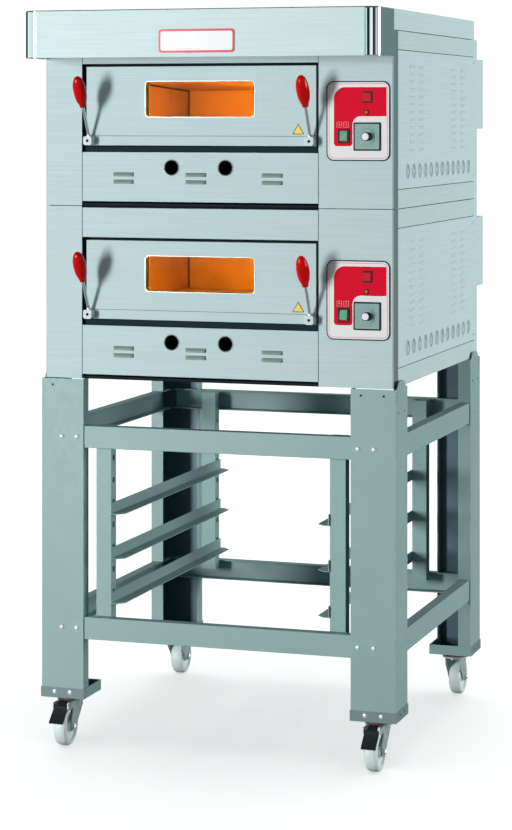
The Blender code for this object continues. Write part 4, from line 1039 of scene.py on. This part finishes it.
def build_stand():
    """Legs with their foot caps, bolts and holes, the rails, and the rack's posts and runners."""
    outer_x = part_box("leg_front_right")[1].x - CAP_SHEET
    stand_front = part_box("leg_front_left")[0].y + CAP_SHEET
    stand_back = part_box("leg_rear_left")[1].y - CAP_SHEET
    bolts, screws, holes, cap_bolts, cap_screws = [], [], [], [], []
    for end_name, end in ENDS:
        face_y = stand_front if end < 0 else stand_back
        for side_name, side in SIDES:
            leg = refined(f"leg_{end_name}_{side_name}", PAINT, 0.0009)
            finish_leg(leg, outer_x, face_y, side, end)

            def on_face(step, z, proud=0.0):
                """A place on the leg's front or rear face, so far from its inner edge."""
                x = side * (outer_x - LEG_FACE) + side * step
                return facing((x, face_y + end * proud, z), (0, end, 0))

            def on_flank(step, z, proud=0.0):
                """A place on the leg's outer flank, so far from its inner edge."""
                y = face_y - end * LEG_FACE + end * step
                return facing((side * (outer_x + proud), y, z), (side, 0, 0))

            for z in RAIL_CENTRES:
                bolts += [on_face(step, z) for step in BOLT_STEPS]
                screws += [on_flank(step, z) for step in BOLT_STEPS]
            for step in HOLE_STEPS if side > 0 or end > 0 else HOLE_STEPS[1:]:
                holes.append(on_face(step, STAND_TOP - 0.017))
                holes.append(on_flank(step, STAND_TOP - 0.062))
            for step in CAP_BOLT_STEPS:
                cap_bolts.append(on_face(step, CAP_BOLT_UP, CAP_SHEET))
                cap_screws.append(on_flank(step, CAP_BOLT_UP, CAP_SHEET))
    # the cap screws take the legs' dark painted shade colour; the leg holes are black discs of painted
    # shade
    for name, mesh, places, finish in (("rail_bolts", BOLT_HEAD, bolts, BOLT),
                                       ("side_bolts", SCREW_HEAD, screws, ZINC),
                                       ("leg_holes", HOLE_DISC, holes, JOINT_AND_SHADE_BLACK),
                                       ("cap_bolts", CAP_BOLT, cap_bolts, BOLT),
                                       ("cap_screws", SCREW_HEAD, cap_screws, PAINTED_SHADE_DARK)):
        scattered(name, mesh, places, finish)
    for level in ("lower", "upper"):
        for place in ("front", "rear", "left", "right"):
            refined(f"stand_rail_{place}_{level}", PAINT, 0.0012)
    for side_name, _ in SIDES:
        thin = [f"rack_post_{end_name}_{side_name}" for end_name, _ in ENDS]
        thin += [f"runner_{level}_{side_name}" for level in ("lower", "middle", "upper")]
        for node in thin:
            refined(node, PAINT, 0.0007)


AXLE_REACH = 0.0225                          # half the fork's outer width
CASTER_TRAIL = 0.037                         # from the swivel's axis to the axle


def wheel_profile(radius, half):
    """Solid nylon wheel with a rounded tread, dished sides and a raised hub."""
    one_side = [(0.0066, half + 0.0008), (0.0125, half + 0.0008), (0.0136, half),
                (0.0160, half - 0.0065), (0.0180, half - 0.0075), (radius - 0.0150, half - 0.0075),
                (radius - 0.0130, half - 0.0065), (radius - 0.0115, half - 0.0008),
                (radius - 0.0095, half), (radius - 0.0060, half - 0.0004),
                (radius - 0.0022, half - 0.0030), (radius - 0.0004, half - 0.0080),
                (radius, half - 0.0120)]
    other = [(reach, -height) for reach, height in reversed(one_side)]
    return one_side + other + one_side[:1]


def build_caster(place, end, braked):
    """Fork, wheel with its axle's nuts and washers, swivel races and any brake pedal."""
    fork = f"caster_fork_{place}"
    wheel = f"caster_wheel_{place}"
    swivel = f"swivel_{place}"
    refined(fork, ZINC, 0.0006)
    low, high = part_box(wheel)
    axle = (low + high) / 2
    made = turned(f"{wheel}_tread", wheel_profile((high.z - low.z) / 2, 0.017), facing(axle, (1, 0, 0)),
                  NYLON, f"wheel_{place}", 64)
    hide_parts(wheel)
    nut = lathe_mesh("nut", [(0, 0.0052), (0.0052, 0.0052), (0.0078, 0.0038), (0.0080, 0.0)], 6)
    washer = lathe_mesh("washer", [(0.0050, 0.0014), (0.0098, 0.0014), (0.0102, 0.0)], 28)
    ends = [facing(axle + Vector((way * AXLE_REACH, 0, 0)), (way, 0, 0)) for way in (-1, 1)]
    scattered(f"axle_washers_{place}", washer, ends, ZINC, swivel)
    on_washers = [matrix @ Matrix.Translation((0, 0, 0.0013)) for matrix in ends]
    scattered(f"axle_nuts_{place}", nut, on_washers, BOLT, swivel, 20)
    pivot = Matrix.Translation((axle.x, axle.y - end * CASTER_TRAIL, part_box(fork)[1].z))
    turned(f"swivel_seal_{place}", [(0.0272, 0.0012), (0.0300, 0.0014), (0.0312, 0.0028),
                                    (0.0300, 0.0046), (0.0272, 0.0050)], pivot, SEAL_RED, steps=40)
    turned(f"swivel_crown_{place}", [(0.0345, -0.0050), (0.0362, -0.0040), (0.0362, -0.0012),
                                     (0.0340, 0.0)], pivot, ZINC, swivel, 40)
    if braked:
        refined(f"brake_pedal_{place}", PEDAL, 0.0009)


# ---------------------------------------------------------------- baking chamber

CHAMBER_HALF = 0.300                         # half the chamber's width
SHIELD_UPS = (0.343, 0.310)                  # the heat shield's front and rear edges
LAMP_WARM = (1.0, 0.36, 0.012)
LAMPS = (("near", (-0.17, FRONT + 0.13, 0.290), 8.0, 0.03),
         ("far", (-0.02, FRONT + 0.50, 0.270), 1.6, 0.05))       # place, power and size


def build_chamber(deck, floor):
    """Chamber, stone and burner, the heat shield and seams, and two warm lamps."""
    chamber = refined(f"{deck}_chamber", CHAMBER, 0.0)
    chamber.data.materials.append(JOINT_AND_SHADE_BLACK.material)
    for face in chamber.data.polygons:
        # the chamber's front faces take the black painted shade
        face.material_index = int(face.center.y < FRONT + 0.0345)
    refined(f"{deck}_hearth_stone", STONE, 0.0015)
    refined(f"{deck}_burner", IRON, 0.0006)
    left = MOUTH_CENTRE - CHAMBER_HALF
    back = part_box(f"{deck}_hearth_stone")[1].y + 0.0035
    front_up, back_up = (floor + up for up in SHIELD_UPS)
    line = [(FRONT + 0.040, front_up), (back - 0.001, back_up)]
    slab(f"{deck}_heat_shield", [line + [(y, z + 0.0012) for y, z in reversed(line)]], left + 0.001,
         left + 2 * CHAMBER_HALF - 0.001, TO_SIDE, CHAMBER, edge=0.0001)
    edge = extruded_mesh("edge", [[(y, z - 0.004) for y, z in line] + line[::-1]], left + 0.0005,
                         left + 0.004, TO_SIDE, 0.0001)
    corner = box_mesh("corner", (left + 0.0005, back - 0.003, floor + 0.192),
                      (left + 0.003, back - 0.0005, back_up))
    piece(f"{deck}_chamber_seams", joined("seams", [corner, edge]), IRON)
    for name, (x, y, up), energy, size in LAMPS:
        light = bpy.data.lights.new(f"{deck}_glow_{name}", "POINT")
        light.color = LAMP_WARM
        light.energy = energy
        light.shadow_soft_size = size
        lamp = placed(light.name, light)
        lamp.location = (x, y, floor + up)
        lamp.visible_camera = False
        lamp.visible_transmission = False
        lamp.visible_glossy = False


# ---------------------------------------------------------------- the whole oven

for deck, floor in FLOORS.items():
    build_columns(deck, floor)
    build_front(deck, floor)
    build_carcass(deck, floor)
    for side_name, side in SIDES:
        build_side(deck, floor, side_name, side)
    build_back(deck, floor)
    build_door(deck, floor)
    build_panel(deck, floor)
    build_chamber(deck, floor)
build_hood()
build_top()
build_stand()
for end_name, end in ENDS:
    for side_name, side in SIDES:
        build_caster(f"{end_name}_{side_name}", end, end < 0)

# ---------------------------------------------------------------- studio


def build_world():
    """White to the camera; for light and gloss, the horizon's strips, the surround and ceiling."""
    world = bpy.data.worlds.new("studio")
    bpy.context.scene.world = world
    world.use_nodes = True
    tree = world.node_tree
    tree.nodes.clear()
    link = tree.links.new

    def calculate(operation, *values):
        node = add_node(tree, "Math", *values)
        node.operation = operation
        return node.outputs[0]

    def around(share, stops):
        """Colours set out round the horizon, at bearings from the front."""
        node = add_node(tree, "ValToRGB", share)
        elements = node.color_ramp.elements
        for bearing, *colour in stops:
            elements.new(bearing / 360 + 0.5).color = (*colour, 1.0)
        elements.remove(elements[0])
        elements.remove(elements[-1])
        return node.outputs["Color"]

    def fade(value, start, end, first, last):
        return add_node(tree, "MapRange", value, start, end, first, last).outputs["Result"]

    x, y, z = add_node(tree, "SeparateXYZ", add_node(tree, "TexCoord").outputs["Generated"]).outputs
    bearing = calculate("ARCTAN2", x, calculate("MULTIPLY", y, -1.0))
    share = calculate("ADD", calculate("DIVIDE", bearing, math.tau), 0.5)
    mixed = add_node(tree, "Mix")
    mixed.data_type = "RGBA"
    link(fade(calculate("ABSOLUTE", z), 0.10, 0.16, 0.0, 1.0), mixed.inputs["Factor"])
    link(around(share, HORIZON), mixed.inputs[6])
    link(around(share, SURROUND), mixed.inputs[7])
    shade = add_node(tree, "VectorMath")
    shade.operation = "SCALE"
    link(mixed.outputs[2], shade.inputs[0])
    link(fade(z, 0.30, 0.75, 1.0, CEILING), shade.inputs["Scale"])
    studio = add_node(tree, "Background", Color=shade.outputs["Vector"])
    plain = add_node(tree, "Background", Color=(1.0, 1.0, 1.0, 1.0), Strength=1.05)
    seen = add_node(tree, "LightPath").outputs["Is Camera Ray"]
    mix = add_node(tree, "MixShader", seen, studio.outputs[0], plain.outputs[0])
    add_node(tree, "OutputWorld", mix.outputs[0])


# bearing in degrees from the front (90 is the right, 180 the rear), and the colour there;
# the horizon's strips are what the polished corners mirror
TEAL = (0.15, 0.25, 0.24)
HORIZON = ((-179.9, *TEAL), (-150, 0.12, 0.13, 0.16), (-120, 0.02, 0.04, 0.045),
           (-90, 0.012, 0.03, 0.035), (-84, 1.0, 1.0, 1.0), (-74, 0.85, 1.0, 1.0),
           (-60, 0.75, 0.88, 0.87), (-20, 0.75, 0.88, 0.87), (-16, 0.20, 0.38, 0.40),
           (-10, 0.22, 0.42, 0.44), (-7, 0.80, 1.0, 1.0), (-4, 0.70, 0.95, 0.92),
           (-2, 0.01, 0.02, 0.03), (11, 0.01, 0.02, 0.03), (14, 0.55, 0.65, 0.67),
           (18, 0.95, 1.0, 1.0), (30, 0.98, 1.0, 1.0), (34, 0.003, 0.01, 0.015),
           (47, 0.003, 0.01, 0.015), (51, 0.26, 0.28, 0.36), (64, 0.48, 0.47, 0.66),
           (68, 1.0, 1.0, 1.0), (74, 1.0, 1.0, 1.0), (78, 0.005, 0.01, 0.02),
           (108, 0.005, 0.015, 0.02), (116, 0.16, 0.26, 0.22), (150, *TEAL), (179, *TEAL))
SURROUND = ((-179.9, 0.75, 0.78, 0.78), (-130, 0.60, 0.62, 0.62), (-90, 0.16, 0.17, 0.17),
            (-20, 0.06, 0.07, 0.07), (50, 0.06, 0.07, 0.07), (90, 0.20, 0.21, 0.21),
            (130, 0.50, 0.52, 0.52), (179, 0.75, 0.78, 0.78))
CEILING = 0.45                   # the ceiling's share of the surround's brightness
# name, target, bearing in degrees, distance, width and height, power
SOFTBOXES = (("key", (0, FRONT, 1.00), -30, 8.0, (1.1, 3.2), 575),
             ("side", (RIGHT, 0, 1.3), 104, 8.0, (3.0, 4.0), 500))


def build_softbox(name, target, bearing, distance, size, energy):
    """Large soft light at a bearing from the front, which the camera doesn't see."""
    light = bpy.data.lights.new(name, "AREA")
    light.shape = "RECTANGLE"
    light.size, light.size_y = size
    light.energy = energy
    softbox = placed(name, light)
    angle = math.radians(bearing)
    offset = Vector((math.sin(angle), -math.cos(angle), 0.05)) * distance
    softbox.location = Vector(target) + offset
    softbox.rotation_euler = (-offset).to_track_quat("-Z", "Y").to_euler()
    softbox.visible_camera = False
    return softbox


def build_floor():
    """Pale floor; only the camera sees its glow, so that the oven isn't lit from below."""
    finish = Finish("studio_floor", "casing_steel", (0.90, 0.91, 0.91), 0.6)
    finish.glow((1, 1, 1), 0.52)
    tree = finish.tree
    dull = add_node(tree, "BsdfDiffuse", Color=(0.30, 0.31, 0.31, 1.0))
    seen = add_node(tree, "LightPath").outputs["Is Camera Ray"]
    mix = add_node(tree, "MixShader", seen, dull.outputs["BSDF"], finish.shader.outputs["BSDF"])
    tree.links.new(mix.outputs["Shader"], tree.nodes["Material Output"].inputs["Surface"])
    mesh = box_mesh("studio_floor", (-20, -20, -0.02), (20, 20, 0.0))
    mesh.materials.append(finish.material)
    made = placed("studio_floor", mesh)
    return made


VIEWPOINT = (2.093, -6.477, 1.661)
VIEW_TURN = 18.2                 # degrees to the left of straight back
LENS = 107.18
SHIFT = (0.0008, -0.360)


def build_camera():
    """Camera at the photograph's viewpoint, level, its frame slid down by shift."""
    data = bpy.data.cameras.new("camera")
    data.sensor_width = 36
    data.lens = LENS
    data.shift_x, data.shift_y = SHIFT
    data.clip_end = 100
    camera = placed("camera", data)
    camera.location = VIEWPOINT
    camera.rotation_euler = (math.radians(90), 0, math.radians(VIEW_TURN))
    bpy.context.scene.camera = camera


def build_overhead(lit):
    """Wide soft light above, which draws the stand's shade on the floor and lights nothing else."""
    light = bpy.data.lights.new("overhead", "SUN")
    light.angle = math.radians(80)
    light.energy = 1.5
    receivers = bpy.data.collections.new("floor_only")
    receivers.objects.link(lit)
    placed("overhead", light).light_linking.receiver_collection = receivers


def leave_out(light, unlit):
    """Keeps a light off one object, which then shows only soft shade."""
    receivers = bpy.data.collections.new("unlit")
    receivers.objects.link(unlit)
    receivers.collection_objects[0].light_linking.link_state = "EXCLUDE"
    light.light_linking.receiver_collection = receivers


build_world()
studio_floor = build_floor()
for softbox in SOFTBOXES:
    leave_out(build_softbox(*softbox), studio_floor)
build_overhead(studio_floor)
build_camera()
bpy.context.scene.view_settings.view_transform = "Standard"
